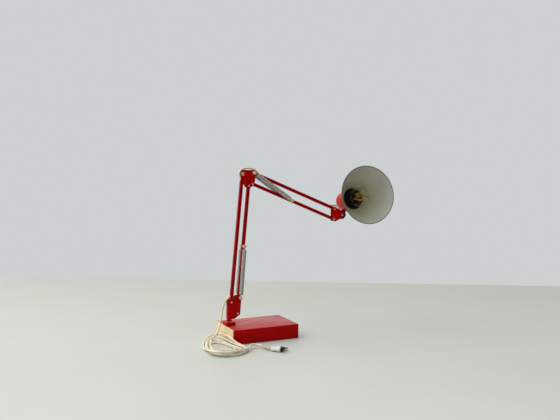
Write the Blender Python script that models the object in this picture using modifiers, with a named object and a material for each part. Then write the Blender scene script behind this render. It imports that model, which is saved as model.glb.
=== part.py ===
"""Spring-balanced twin-bar architect lamp on a weighted rectangular base.

World frame in metres: the origin is the centre of the base's underside, +Z is up, +X runs along
the base from the spindle end, and the arms move in the plane y = 0 when the swivel is at rest.
"""

from math import atan2, cos, hypot, pi, radians, sin

import bmesh
import bpy
from mathutils import Matrix, Vector

GAP = 0.0003

# Base
BASE_LENGTH = 0.207
BASE_WIDTH = 0.132
BASE_TOP = 0.042
PAD_THICKNESS = 0.0025
PAD_INSET = 0.0015
COVER_SHEET = 0.0015
COVER_EDGE_RADIUS = 0.0018
END_PLATE = 0.0015
WEIGHT_HEIGHT = 0.024
WEIGHT_MARGIN = 0.008
SPINDLE_X = -0.0885
FOOT_LENGTH = 0.028
FOOT_WIDTH = 0.032
FOOT_HEIGHT = 0.011
SPINDLE_RADIUS = 0.004
COLLAR_RADIUS = 0.0075
BUSH_RADIUS = 0.0065
BRACKET_BOTTOM = 0.060

# Arms: pins as (x, z) in the arm plane
LOWER_PIN = (-0.0836, 0.1083)
LOWER_OFFSET = (0.0196, -0.0341)
LOWER_ARM = 0.370
LOWER_LEAN = radians(4.65)
ELBOW_SPAN = (0.0340, 0.0033)
UPPER_OFFSET = (-0.0030, -0.0314)
UPPER_ARM = 0.296
UPPER_DROOP = radians(21.1)
HEAD_PIN_OFFSET = (0.0270, -0.0187)

# Bars, plates and pins
BAR = 0.0090
BAR_WALL = 0.0006
BAR_END = 0.005
SLOT_WIDTH = 0.0058
PLATE_INNER = 0.0048
PLATE_SHEET = 0.0012
PLATE_OUTER = PLATE_INNER + PLATE_SHEET
PIN_RADIUS = 0.0019
PIN_HOLE = 0.0021
RIVET_HEAD = 0.0032
RIVET_HEAD_HEIGHT = 0.0010

# Springs
SPRING_Y = 0.0125
SPRING_RADIUS = 0.0061
SPRING_BORE = 0.0047
SPRING_WIRE = 0.0008
HOOK_REACH = 0.0085
HOOK_RADIUS = 0.0034
LOWER_PEG = (-0.0581, 0.1203)
LOWER_PEG_ON_BAR = 0.1951
UPPER_PEG_ON_BAR = 0.1357
LOWER_TAIL = 0.042
UPPER_TAIL = 0.0145
SPRING_END_RING = 0.0012

# Head
STUB_REACH = 0.056
STUB_ANGLE = radians(57.3)
SHADE_TURN = radians(-5.7)
SHADE_RISE = radians(9.3)
SHADE_RADIUS = 0.0868
SHADE_SHEET = 0.0009
SHADE_RIM_AT = 0.118
NECK_RADIUS = 0.0341
NECK_FROM = 0.006
NECK_TO = 0.023
KNUCKLE_RADIUS = 0.0135
KNUCKLE_NECK_RADIUS = 0.0070
KNUCKLE_NECK_FROM = 0.0125
KNUCKLE_LENGTH = 0.0150
CAP_RADIUS = 0.0325
CAP_END = -0.0655
BULB_RADIUS = 0.0295
BULB_CENTRE = 0.064
BULB_BASE = 0.014
FILAMENT_WAVES = 2
FILAMENT_REACH = 0.0100
FILAMENT_TAPER = 0.0022
FILAMENT_LEVEL = 0.0620
FILAMENT_SWING = 0.0135
FILAMENT_RADIUS = 0.0008

# Mains lead
CORD_RADIUS = 0.0027
SLEEVE_LENGTH = 0.022
SLEEVE_RADIUS = 0.0034
BUNDLE_HEIGHT = 0.022
BUNDLE_OUTLINE = (
    (-0.1048, 0.0400),
    (-0.1048, -0.0080),
    (-0.1048, -0.0560),
    (-0.0990, -0.0860),
    (-0.0870, -0.1120),
    (-0.0860, -0.1330),
    (-0.0980, -0.1530),
    (-0.1180, -0.1690),
    (-0.1440, -0.1760),
    (-0.1720, -0.1610),
    (-0.1950, -0.1220),
    (-0.1950, -0.0830),
    (-0.1840, -0.0380),
    (-0.1640, 0.0080),
    (-0.1420, 0.0440),
    (-0.1240, 0.0570),
    (-0.1110, 0.0540),
)
BUNDLE_OPENING = (
    (-0.1270, -0.0200),
    (-0.1230, -0.0600),
    (-0.1200, -0.0980),
    (-0.1240, -0.1220),
    (-0.1420, -0.1330),
    (-0.1640, -0.1180),
    (-0.1690, -0.0850),
    (-0.1560, -0.0420),
    (-0.1400, -0.0150),
)
LEAD_ROUTE = (
    (-0.0874, 0.0, 0.1249),
    (-0.0948, 0.0, 0.1200),
    (-0.1035, -0.0010, 0.1115),
    (-0.1088, -0.0020, 0.0985),
    (-0.1118, -0.0030, 0.0840),
    (-0.1150, -0.0045, 0.0690),
    (-0.1195, -0.0080, 0.0530),
    (-0.1270, -0.0160, 0.0385),
    (-0.1370, -0.0290, 0.0290),
    (-0.1490, -0.0450, 0.0255),
)
TAIL_ROUTE = (
    (-0.0815, -0.1290, 0.0105),
    (-0.0755, -0.1160, 0.0105),
    (-0.0640, -0.1090, 0.0105),
    (-0.0515, -0.1120, 0.0095),
    (-0.0435, -0.1230, 0.0085),
    (-0.0400, -0.1370, 0.0075),
)
TAIL_LENGTH = 0.068
RELIEF_RADIUS = 0.0038
PLUG_BACK = (-0.0290, -0.1557, 0.0064)
PLUG_FRONT = (-0.0070, -0.1700, 0.0068)
PIN_LENGTH = 0.019
PIN_SPACING = 0.0185


# ---------------------------------------------------------------- set-up


def clear_scene():
    for old in list(bpy.data.objects):
        bpy.data.objects.remove(old, do_unlink=True)


def make_collection(name):
    made = bpy.data.collections.new(name)
    bpy.context.scene.collection.children.link(made)
    return made


def paint(name, colour, roughness, metallic=0.0, alpha=1.0):
    """A Principled material with one colour, roughness and metallic value."""
    made = bpy.data.materials.new(name)
    made.use_nodes = True
    shader = made.node_tree.nodes["Principled BSDF"]
    shader.inputs["Base Color"].default_value = (*colour, 1.0)
    shader.inputs["Roughness"].default_value = roughness
    shader.inputs["Metallic"].default_value = metallic
    shader.inputs["Alpha"].default_value = alpha
    return made


clear_scene()
LAMP = make_collection("architect_desk_lamp")
CUTTERS = make_collection("cutters")
RED = paint("red_enamel", (0.30, 0.004, 0.005), 0.22)
CREAM = paint("cream_plastic", (0.72, 0.62, 0.40), 0.45)
CREAM_PAINT = paint("cream_enamel", (0.70, 0.60, 0.36), 0.40)
WHITE = paint("white_plastic", (0.80, 0.80, 0.77), 0.40)
BLACK = paint("black_plastic", (0.012, 0.012, 0.012), 0.45)
STEEL = paint("zinc_steel", (0.55, 0.54, 0.50), 0.35, 1.0)
SPRING = paint("spring_steel", (0.42, 0.42, 0.42), 0.30, 1.0)
IRON = paint("cast_iron", (0.08, 0.08, 0.08), 0.70, 0.6)
FELT = paint("rubber_pad", (0.02, 0.02, 0.02), 0.85)
BRASS = paint("brass", (0.65, 0.48, 0.20), 0.35, 1.0)
GLASS = paint("clear_glass", (0.95, 0.95, 0.93), 0.03, 0.0, 0.35)
FILAMENT = paint("filament", (0.85, 0.55, 0.15), 0.40)


# ---------------------------------------------------------------- building tools


def point(pair, y=0.0):
    """A point of the arm plane, given as (x, z), moved sideways to y."""
    return Vector((pair[0], y, pair[1]))


def plus(pair, offset, scale=1.0):
    return (pair[0] + offset[0] * scale, pair[1] + offset[1] * scale)


def heading(angle_from_x):
    """Unit (x, z) direction in the arm plane, measured from +X towards +Z."""
    return (cos(angle_from_x), sin(angle_from_x))


def tilt(direction):
    """Turn about +Y that carries local +X onto an arm-plane direction."""
    return -atan2(direction[1], direction[0])


def add(name, data, material=None, collection=None):
    made = bpy.data.objects.new(name, data)
    (collection or LAMP).objects.link(made)
    if material is not None:
        data.materials.append(material)
    return made


def pivot(name, place, parent=None):
    """An empty on a joint's axis that carries the moving pieces."""
    made = bpy.data.objects.new(name, None)
    LAMP.objects.link(made)
    made.empty_display_size = 0.02
    made.location = place
    carry(made, parent)
    return made


def carry(piece, parent):
    """Parents a piece and leaves it where it stands."""
    bpy.context.view_layer.update()
    if parent is not None:
        piece.parent = parent
        piece.matrix_parent_inverse = parent.matrix_world.inverted()
    bpy.context.view_layer.update()
    return piece


def smooth(mesh, angle=radians(35)):
    mesh.shade_smooth()
    mesh.set_sharp_from_angle(angle=angle)


def box_mesh(name, low, high):
    """A box between two corners, about its own centre."""
    size = Vector(high) - Vector(low)
    work = bmesh.new()
    bmesh.ops.create_cube(work, size=1.0)
    bmesh.ops.scale(work, vec=size, verts=work.verts)
    mesh = bpy.data.meshes.new(name)
    work.to_mesh(mesh)
    work.free()
    return mesh


def box(name, low, high, material, bevel=0.0):
    made = add(name, box_mesh(name, low, high), material)
    made.location = (Vector(low) + Vector(high)) / 2
    if bevel:
        soften(made, bevel)
    return made


def soften(piece, width, segments=2):
    edge = piece.modifiers.new("soft_edges", "BEVEL")
    edge.width = width
    edge.segments = segments
    edge.limit_method = "ANGLE"
    edge.angle_limit = radians(40)
    return edge


def rod_mesh(name, radius, length, sides=20):
    """A cylinder standing on its origin, along +Z."""
    work = bmesh.new()
    bmesh.ops.create_cone(
        work, cap_ends=True, segments=sides, radius1=radius, radius2=radius, depth=length
    )
    bmesh.ops.translate(work, vec=(0, 0, length / 2), verts=work.verts)
    mesh = bpy.data.meshes.new(name)
    work.to_mesh(mesh)
    work.free()
    return mesh


def aim(piece, start, end):
    """Stands a piece on start with its +Z towards end."""
    piece.location = start
    piece.rotation_mode = "QUATERNION"
    piece.rotation_quaternion = (Vector(end) - Vector(start)).to_track_quat("Z", "Y")
    return piece


def rod(name, start, end, radius, material, sides=20):
    start, end = Vector(start), Vector(end)
    made = add(name, rod_mesh(name, radius, (end - start).length, sides), material)
    smooth(made.data)
    return aim(made, start, end)


def turned(name, profile, material, steps=32, closed=False):
    """A shape turned about local Z from (radius, height) pairs, outer side from top to bottom."""
    mesh = bpy.data.meshes.new(name)
    verts = [(radius, 0.0, height) for radius, height in profile]
    edges = [(i, i + 1) for i in range(len(verts) - 1)]
    if closed:
        edges.append((len(verts) - 1, 0))
    mesh.from_pydata(verts, edges, [])
    made = add(name, mesh, material)
    screw = made.modifiers.new("turn", "SCREW")
    screw.steps = steps
    screw.render_steps = steps
    screw.use_merge_vertices = True
    screw.merge_threshold = 0.00001
    screw.use_smooth_shade = True
    return made


def frozen(piece):
    """Replaces a curve or modified object by its finished, welded mesh."""
    bpy.context.view_layer.update()
    source = piece.evaluated_get(bpy.context.evaluated_depsgraph_get())
    mesh = bpy.data.meshes.new_from_object(source)
    work = bmesh.new()
    work.from_mesh(mesh)
    bmesh.ops.remove_doubles(work, verts=work.verts, dist=0.000001)
    work.to_mesh(mesh)
    work.free()
    name, place, home = piece.name, piece.matrix_world.copy(), piece.users_collection[0]
    bpy.data.objects.remove(piece)
    made = bpy.data.objects.new(name, mesh)
    home.objects.link(made)
    made.matrix_world = place
    return made


def combine(piece, other, operation):
    """A Boolean of piece with other, which becomes a hidden guide."""
    for home in list(other.users_collection):
        home.objects.unlink(other)
    CUTTERS.objects.link(other)
    other.hide_render = True
    other.display_type = "WIRE"
    step = piece.modifiers.new(operation.lower(), "BOOLEAN")
    step.operation = operation
    step.object = other
    step.solver = "EXACT"
    return piece


def cut(piece, cutter):
    return combine(piece, cutter, "DIFFERENCE")


def join(piece, other):
    return combine(piece, other, "UNION")


def cross_hole(piece, place, radius, half_length=0.02):
    """Cuts a round hole along Y through a piece at an arm-plane point."""
    drill = rod(piece.name + "_drill", point(place, -half_length), point(place, half_length), radius, None)
    return cut(piece, drill)


def circle(centre, radius, sides=16):
    turns = [2 * pi * i / sides for i in range(sides)]
    return [(centre[0] + radius * cos(a), centre[1] + radius * sin(a)) for a in turns]


def rounded(corners, radius, steps=4):
    """An outline with each corner replaced by an arc of about the given radius."""
    outline = []
    count = len(corners)
    for i, corner in enumerate(corners):
        here = Vector(corner)
        back = (Vector(corners[i - 1]) - here).normalized()
        ahead = (Vector(corners[(i + 1) % count]) - here).normalized()
        half = back.angle(ahead) / 2
        reach = radius / max(0.2, abs(sin(half) / cos(half)))
        centre = here + (back + ahead).normalized() * (radius / sin(half))
        first = here + back * reach - centre
        last = here + ahead * reach - centre
        for k in range(steps + 1):
            spoke = first.lerp(last, k / steps).normalized() * radius
            outline.append(tuple(centre + spoke))
    return outline


def flat_curve(name, loops, half_thickness):
    """A filled outline with holes; local X and Y become the arm plane's X and Z."""
    data = bpy.data.curves.new(name, "CURVE")
    data.dimensions = "2D"
    data.fill_mode = "BOTH"
    data.extrude = half_thickness
    for loop in loops:
        spline = data.splines.new("POLY")
        spline.points.add(len(loop) - 1)
        for slot, (across, along) in zip(spline.points, loop):
            slot.co = (across, along, 0.0, 1.0)
        spline.use_cyclic_u = True
    return data


def plate(name, corners, holes, side, material, radius=0.003):
    """A flat cheek parallel to the arm plane, on the near (-1) or far (+1) side of it."""
    loops = [rounded(corners, radius)]
    loops += [circle(place, size) for place, size in holes]
    made = add(name, flat_curve(name, loops, PLATE_SHEET / 2), material)
    made.rotation_euler = (pi / 2, 0, 0)
    made.location = (0, side * (PLATE_INNER + PLATE_SHEET / 2), 0)
    return made


def smooth_route(route, spacing):
    """Evenly spaced points on a Catmull-Rom curve through the route's points."""
    knots = [Vector(p) for p in route]
    knots = [knots[0] * 2 - knots[1]] + knots + [knots[-1] * 2 - knots[-2]]
    fine = []
    for a, b, c, d in zip(knots, knots[1:], knots[2:], knots[3:]):
        for k in range(24):
            t = k / 24
            fine.append(
                0.5
                * (
                    2 * b
                    + (c - a) * t
                    + (2 * a - 5 * b + 4 * c - d) * t**2
                    + (3 * b - a - 3 * c + d) * t**3
                )
            )
    fine.append(knots[-2])
    total = sum((q - p).length for p, q in zip(fine, fine[1:]))
    count = max(2, round(total / spacing))
    even, walked, target = [fine[0]], 0.0, total / count
    for p, q in zip(fine, fine[1:]):
        step = (q - p).length
        while step > 0 and walked + step >= target and len(even) < count:
            even.append(p.lerp(q, (target - walked) / step))
            target += total / count
        walked += step
    even.append(fine[-1])
    return even


def wire(name, points, radius, material, resolution=2, closed=False, widths=None):
    """A round wire or tube along points, with filled ends."""
    data = bpy.data.curves.new(name, "CURVE")
    data.dimensions = "3D"
    data.bevel_depth = radius
    data.bevel_resolution = resolution
    data.use_fill_caps = not closed
    spline = data.splines.new("POLY")
    spline.points.add(len(points) - 1)
    for i, place in enumerate(points):
        spline.points[i].co = (*place, 1.0)
        if widths:
            spline.points[i].radius = widths[i]
    spline.use_cyclic_u = closed
    return add(name, data, material)


# ---------------------------------------------------------------- arm geometry

LOWER_WAY = heading(pi / 2 - LOWER_LEAN)
UPPER_WAY = heading(-UPPER_DROOP)
P1 = LOWER_PIN
P2 = plus(P1, LOWER_OFFSET)
Q1 = plus(P1, LOWER_WAY, LOWER_ARM)
Q2 = plus(P2, LOWER_WAY, LOWER_ARM)
R1 = plus(Q1, ELBOW_SPAN)
R2 = plus(R1, UPPER_OFFSET)
T1 = plus(R1, UPPER_WAY, UPPER_ARM)
T2 = plus(R2, UPPER_WAY, UPPER_ARM)
HEAD_PIN = plus(T1, HEAD_PIN_OFFSET)
S1 = LOWER_PEG
S2 = plus(P2, LOWER_WAY, LOWER_PEG_ON_BAR)
S4 = plus(R2, UPPER_WAY, UPPER_PEG_ON_BAR)
STUB_WAY = heading(STUB_ANGLE)
HEAD_CENTRE = plus(HEAD_PIN, STUB_WAY, STUB_REACH)


# ---------------------------------------------------------------- base


def base_cover():
    """A folded steel pan, open underneath and at the left end."""
    length = BASE_LENGTH - END_PLATE - GAP
    work = bmesh.new()
    bmesh.ops.create_cube(work, size=1.0)
    bmesh.ops.scale(work, vec=(length, BASE_WIDTH, BASE_TOP - PAD_THICKNESS), verts=work.verts)
    doomed = [f for f in work.faces if f.normal.z < -0.9 or f.normal.x < -0.9]
    bmesh.ops.delete(work, geom=doomed, context="FACES")
    mesh = bpy.data.meshes.new("base_cover")
    work.to_mesh(mesh)
    work.free()
    cover = add("base_cover", mesh, RED)
    cover.location = ((BASE_LENGTH - length) / 2, 0, (BASE_TOP + PAD_THICKNESS) / 2)
    soften(cover, COVER_EDGE_RADIUS, 3)
    shell = cover.modifiers.new("sheet", "SOLIDIFY")
    shell.thickness = COVER_SHEET
    shell.offset = -1
    drill = rod("cover_drill", (SPINDLE_X, 0, 0.03), (SPINDLE_X, 0, 0.05), BUSH_RADIUS, None)
    return cut(cover, drill)


def base_inside():
    """The cream end plate, the iron weight and the pad that the base stands on."""
    half = BASE_LENGTH / 2
    side = BASE_WIDTH / 2
    end = box(
        "base_end_plate",
        (-half, -side, PAD_THICKNESS),
        (-half + END_PLATE, side, BASE_TOP),
        CREAM_PAINT,
    )
    weight = box(
        "base_weight",
        (-half + WEIGHT_MARGIN, -side + WEIGHT_MARGIN, PAD_THICKNESS + GAP),
        (half - WEIGHT_MARGIN, side - WEIGHT_MARGIN, PAD_THICKNESS + WEIGHT_HEIGHT),
        IRON,
    )
    bore = rod("weight_drill", (SPINDLE_X, 0, -0.01), (SPINDLE_X, 0, 0.05), SPINDLE_RADIUS + GAP, None)
    cut(weight, bore)
    pad = box(
        "base_pad",
        (-half + PAD_INSET, -side + PAD_INSET, 0),
        (half - PAD_INSET, side - PAD_INSET, PAD_THICKNESS - GAP),
        FELT,
    )
    return [end, weight, pad]


def foot_block():
    """The red block on the cover that holds the spindle's bush."""
    low = (SPINDLE_X - FOOT_LENGTH / 2, -FOOT_WIDTH / 2, BASE_TOP + GAP)
    high = (SPINDLE_X + FOOT_LENGTH / 2, FOOT_WIDTH / 2, BASE_TOP + GAP + FOOT_HEIGHT)
    block = box("foot_block", low, high, RED, 0.0012)
    bore = rod("foot_drill", (SPINDLE_X, 0, 0.03), (SPINDLE_X, 0, 0.07), BUSH_RADIUS + GAP, None, 32)
    return cut(block, bore)


def spindle_bush():
    """A plain bearing in the foot block."""
    low = BASE_TOP + GAP
    high = BASE_TOP + GAP + FOOT_HEIGHT
    inner = SPINDLE_RADIUS + 0.00015
    profile = [(inner, high), (BUSH_RADIUS, high), (BUSH_RADIUS, low), (inner, low)]
    bush = turned("spindle_bush", profile, BRASS, 32, closed=True)
    bush.location = (SPINDLE_X, 0, 0)
    return bush


def spindle():
    """The swivel spindle with the collar that the bracket stands on."""
    shoulder = BASE_TOP + 2 * GAP + FOOT_HEIGHT
    foot = PAD_THICKNESS + 0.008
    top = BRACKET_BOTTOM - GAP
    profile = [
        (0, top),
        (COLLAR_RADIUS, top),
        (COLLAR_RADIUS, shoulder),
        (SPINDLE_RADIUS, shoulder),
        (SPINDLE_RADIUS, foot),
        (0, foot),
    ]
    made = turned("spindle", profile, RED, 32)
    made.location = (SPINDLE_X, 0, 0)
    return made


# ---------------------------------------------------------------- brackets and pins


def lower_bracket():
    """One folded sheet: two cheeks, a web on the left and a floor on the spindle."""
    left = -0.0955
    corners = [
        (left, BRACKET_BOTTOM),
        (-0.0740, BRACKET_BOTTOM),
        (-0.0570, 0.0715),
        (-0.0535, 0.1180),
        (-0.0570, 0.1245),
        (-0.0675, 0.1272),
        (-0.0832, 0.1199),
        (left, 0.1159),
    ]
    loops = [rounded(corners, 0.002, 3)]
    loops += [circle(p, PIN_HOLE) for p in (P1, P2, S1)]
    made = add("lower_bracket", flat_curve("lower_bracket", loops, PLATE_OUTER), RED)
    made.rotation_euler = (pi / 2, 0, 0)
    made = frozen(made)
    hollow = box(
        "bracket_hollow",
        (left + PLATE_SHEET, -PLATE_INNER, BRACKET_BOTTOM + 0.0025),
        (0.0, PLATE_INNER, 0.15),
        None,
    )
    cut(made, hollow)
    notch_half = SLEEVE_RADIUS + 0.0004
    notch = box("bracket_notch", (left - 0.01, -notch_half, 0.0985), (left + 0.01, notch_half, 0.13), None)
    return cut(made, notch)


def rivet(name, place, half_length=PLATE_OUTER, shank=PIN_RADIUS, head=RIVET_HEAD):
    """A headed pivot pin across the arm plane."""
    face = half_length + 0.0001
    crown = face + RIVET_HEAD_HEIGHT
    half = [(0, crown), (head * 0.6, crown), (head, crown - RIVET_HEAD_HEIGHT / 2), (head, face)]
    profile = half + [(shank, face)]
    profile += [(r, -z) for r, z in reversed(profile)]
    made = turned(name, profile, STEEL, 16)
    made.rotation_euler = (pi / 2, 0, 0)
    made.location = point(place)
    return made


def bobbin(inner_face, shank):
    """Profile of one grooved spring seat, from its outer end in to the plate or bar."""
    groove = 0.0024
    flange = 0.0041
    outer = SPRING_Y + 0.0036
    return [
        (0, outer),
        (flange * 0.7, outer),
        (flange, outer - 0.0008),
        (flange, SPRING_Y + 0.0016),
        (groove, SPRING_Y + 0.0012),
        (groove, SPRING_Y - 0.0012),
        (flange, SPRING_Y - 0.0016),
        (flange, inner_face),
        (shank, inner_face),
    ]


def through_peg(name, place, inner_face):
    """A peg across the plane with a grooved seat for a spring on each side."""
    profile = bobbin(inner_face, PIN_RADIUS)
    profile += [(r, -z) for r, z in reversed(profile)]
    made = turned(name, profile, CREAM, 16)
    made.rotation_euler = (pi / 2, 0, 0)
    made.location = point(place)
    return made


def stub_peg(name, place, side):
    """A grooved spring seat riveted to one cheek; its shank ends inside the sheet."""
    profile = bobbin(PLATE_OUTER + 0.0001, PIN_RADIUS)
    profile += [(PIN_RADIUS, PLATE_INNER + 0.0002), (0, PLATE_INNER + 0.0002)]
    made = turned(name, profile, CREAM, 16)
    made.rotation_euler = (-side * pi / 2, 0, 0)
    made.location = point(place)
    return made


ELBOW_CORNERS = (
    (-0.0585, 0.4700),
    (-0.0575, 0.4830),
    (-0.0520, 0.4885),
    (-0.0210, 0.4885),
    (-0.0140, 0.4830),
    (-0.0145, 0.4700),
    (-0.0170, 0.4460),
    (-0.0270, 0.4395),
    (-0.0300, 0.4365),
    (-0.0385, 0.4365),
    (-0.0440, 0.4425),
    (-0.0530, 0.4570),
)


def head_cheek(name, side):
    """One of the two pentagon cheeks between the upper bars and the head's knuckle."""
    corners = [
        (0.2478, 0.3778),
        (0.2545, 0.3815),
        (0.2895, 0.3615),
        (0.2895, 0.3510),
        (0.2800, 0.3440),
        (0.2590, 0.3350),
        (0.2478, 0.3365),
    ]
    holes = [(T1, PIN_HOLE), (T2, PIN_HOLE), (HEAD_PIN, PIN_HOLE + GAP)]
    return plate(name, corners, holes, side, RED, 0.0025)


# ---------------------------------------------------------------- bars


def bar(name, start, way, length, peg=None, slots=()):
    """A square tube from pin hole to pin hole; slots let the cable through its outer face."""
    half = BAR / 2
    bore = half - BAR_WALL
    made = add(name, box_mesh(name, (0, 0, 0), (length + 2 * BAR_END, BAR, BAR)), RED)
    for vert in made.data.vertices:
        vert.co.x += length / 2
    soften(made, 0.0007)
    made.rotation_euler = (0, tilt(way), 0)
    made.location = point(start)
    made = frozen(made)
    made.data.materials.clear()
    made.data.materials.append(RED)
    hollow = add(name + "_hollow", box_mesh(name, (0, 0, 0), (length + 0.05, 2 * bore, 2 * bore)))
    hollow.rotation_euler = (0, tilt(way), 0)
    hollow.location = point(plus(start, way, length / 2))
    cut(made, hollow)
    for reach in [0, length] + ([peg] if peg else []):
        cross_hole(made, plus(start, way, reach), PIN_HOLE)
    for first, last in slots:
        window = add(name + "_slot", box_mesh(name, (0, 0, 0), (last - first, SLOT_WIDTH, 0.004)))
        window.rotation_euler = (0, tilt(way), 0)
        outward = (-way[1], way[0])
        middle = plus(start, way, (first + last) / 2)
        window.location = point(plus(middle, outward, half))
        cut(made, window)
    return made


LOWER_SLOTS = ((0.0120, 0.0215), (0.3520, 0.3650))
UPPER_SLOTS = ((0.0090, 0.0210), (0.2755, 0.2890))


def inner_cable(name, start, way, first, last):
    return wire(
        name, [point(plus(start, way, first)), point(plus(start, way, last))], CORD_RADIUS, CREAM
    )


def arm_route(knots):
    return smooth_route([point(k) for k in knots], 2.4 * CORD_RADIUS)


def elbow_cable():
    """The loop of lead from the lower bar, over the elbow, into the upper bar."""
    knots = [
        (-0.0614, 0.4700),
        (-0.0636, 0.4765),
        (-0.0612, 0.4848),
        (-0.0530, 0.4908),
        (-0.0415, 0.4933),
        (-0.0290, 0.4933),
        (-0.0170, 0.4902),
        (-0.0076, 0.4834),
    ]
    return wire("elbow_cable", arm_route(knots), CORD_RADIUS, CREAM)


def head_cable():
    """The loop of lead from the upper bar, over the head bracket, into the knuckle."""
    knots = [
        (0.2470, 0.3844),
        (0.2560, 0.3856),
        (0.2650, 0.3834),
        (0.2723, 0.3784),
        (0.2781, 0.3717),
    ]
    return wire("head_cable", arm_route(knots), CORD_RADIUS, CREAM)


# ---------------------------------------------------------------- springs


def eye(reach):
    """Hook wire in the local XZ plane: an eye about the origin and a shank to z = reach."""
    turns = [-radians(20) * k for k in range(13)]
    ring = [(HOOK_RADIUS * cos(a), 0.0, HOOK_RADIUS * sin(a)) for a in turns]
    return [(HOOK_RADIUS, 0.0, reach), (HOOK_RADIUS, 0.0, reach / 2)] + ring


def spring(name, fixed, moving, side, clearance=0.0):
    """A close-wound coil as a sleeve closed at its hook end, hooked on the fixed peg."""
    span = (moving[0] - fixed[0], moving[1] - fixed[1])
    top = hypot(*span) - HOOK_REACH - clearance
    floor = HOOK_REACH + 0.003
    profile = [
        (0, floor),
        (SPRING_BORE, floor),
        (SPRING_BORE, top),
        (SPRING_RADIUS, top),
        (SPRING_RADIUS, HOOK_REACH),
        (0, HOOK_REACH),
    ]
    turn = atan2(span[0], span[1])
    made = turned(name, profile, SPRING, 20)
    hook = frozen(wire(name + "_hook", eye(HOOK_REACH + 0.0015), SPRING_WIRE, None))
    for piece in (made, hook):
        piece.rotation_euler = (0, turn, 0)
        piece.location = point(fixed, side * SPRING_Y)
    made = frozen(made)
    return join(made, hook)


def spring_tail(name, fixed, moving, side, length):
    """The hook wire on the moving peg, whose straight shank slides inside the coil."""
    span = (fixed[0] - moving[0], fixed[1] - moving[1])
    ring = eye(0.003)[2:]
    shank = [(0.0, 0.0, length), (0.0, 0.0, 0.0085), (HOOK_RADIUS, 0.0, 0.0035)]
    made = wire(name, shank + ring, SPRING_WIRE, SPRING)
    made.rotation_euler = (0, atan2(span[0], span[1]), 0)
    made.location = point(moving, side * SPRING_Y)
    return made


def spring_end(name, fixed, moving, side):
    """The last turn of a coil, which travels as the coil stretches."""
    span = (moving[0] - fixed[0], moving[1] - fixed[1])
    top = hypot(*span) - HOOK_REACH
    low = top - SPRING_END_RING
    profile = [(SPRING_BORE, top), (SPRING_RADIUS, top), (SPRING_RADIUS, low), (SPRING_BORE, low)]
    made = turned(name, profile, SPRING, 20, closed=True)
    made.rotation_euler = (0, atan2(span[0], span[1]), 0)
    made.location = point(fixed, side * SPRING_Y)
    return made


# ---------------------------------------------------------------- head


def shade_axis():
    return Vector(
        (
            sin(SHADE_TURN) * cos(SHADE_RISE),
            -cos(SHADE_TURN) * cos(SHADE_RISE),
            sin(SHADE_RISE),
        )
    )


def head_matrix():
    """Local +Z is the shade's axis towards its rim, local +X points at the knuckle."""
    axis = shade_axis()
    stub = -point(STUB_WAY)
    across = (stub - axis * stub.dot(axis)).normalized()
    third = axis.cross(across)
    turn = Matrix((across, third, axis)).transposed().to_4x4()
    return Matrix.Translation(point(HEAD_CENTRE)) @ turn


def knuckle():
    """A black disc between the cheeks with a round neck that carries the head."""
    disc = rod(
        "knuckle",
        point(HEAD_PIN, PLATE_INNER - GAP),
        point(HEAD_PIN, GAP - PLATE_INNER),
        KNUCKLE_RADIUS,
        BLACK,
        32,
    )
    neck_foot = plus(HEAD_PIN, STUB_WAY, KNUCKLE_NECK_FROM)
    neck_end = plus(HEAD_PIN, STUB_WAY, KNUCKLE_LENGTH)
    neck = rod("knuckle_neck", point(neck_foot), point(neck_end), KNUCKLE_NECK_RADIUS, None, 24)
    join(disc, neck)
    cross_hole(disc, HEAD_PIN, PIN_HOLE + GAP)
    near = plus(HEAD_PIN, STUB_WAY, 0.0110)
    far = plus(HEAD_PIN, STUB_WAY, 0.0300)
    return cut(disc, rod("knuckle_bore", point(near), point(far), 0.0050, None, 24))


def head_nipple():
    """The hollow threaded pin that the head swivels on, with the lead inside."""
    low = 0.0116
    high = 0.0315
    made = turned(
        "head_nipple", [(0.0030, high), (0.0047, high), (0.0047, low), (0.0030, low)], STEEL, 24, True
    )
    return aim(made, point(HEAD_PIN), point(HEAD_CENTRE))


def head_cap():
    """The rear cup with the boss that turns on the nipple."""
    sheet = 0.0010
    outer = [
        (CAP_RADIUS, 0.0180),
        (0.0323, 0.0000),
        (0.0312, -0.0160),
        (0.0298, -0.0300),
        (0.0275, -0.0420),
        (0.0235, -0.0530),
        (0.0175, -0.0605),
        (0.0090, -0.0645),
        (0.0, CAP_END),
    ]
    inner = [(r - sheet, z + sheet * (1 - r / CAP_RADIUS)) for r, z in outer[:-1]]
    inner = inner + [(0.0, CAP_END + sheet)]
    made = turned("head_cap", list(reversed(inner)) + outer, RED, 48)
    made.matrix_world = head_matrix()
    made = frozen(made)
    start = plus(HEAD_PIN, STUB_WAY, KNUCKLE_LENGTH + GAP)
    stop = plus(HEAD_PIN, STUB_WAY, 0.0256)
    boss = rod("cap_boss", point(start), point(stop), 0.0085, None, 32)
    join(made, boss)
    near = plus(HEAD_PIN, STUB_WAY, 0.0150)
    far = plus(HEAD_PIN, STUB_WAY, 0.0330)
    return cut(made, rod("cap_bore", point(near), point(far), 0.0050, None, 24))


def shade_radius(at, bulge=0.93):
    """Outer radius of the flare at a distance along the shade's axis."""
    share = (at - NECK_TO) / (SHADE_RIM_AT - NECK_TO)
    return NECK_RADIUS + (SHADE_RADIUS - NECK_RADIUS) * share**bulge


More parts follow.
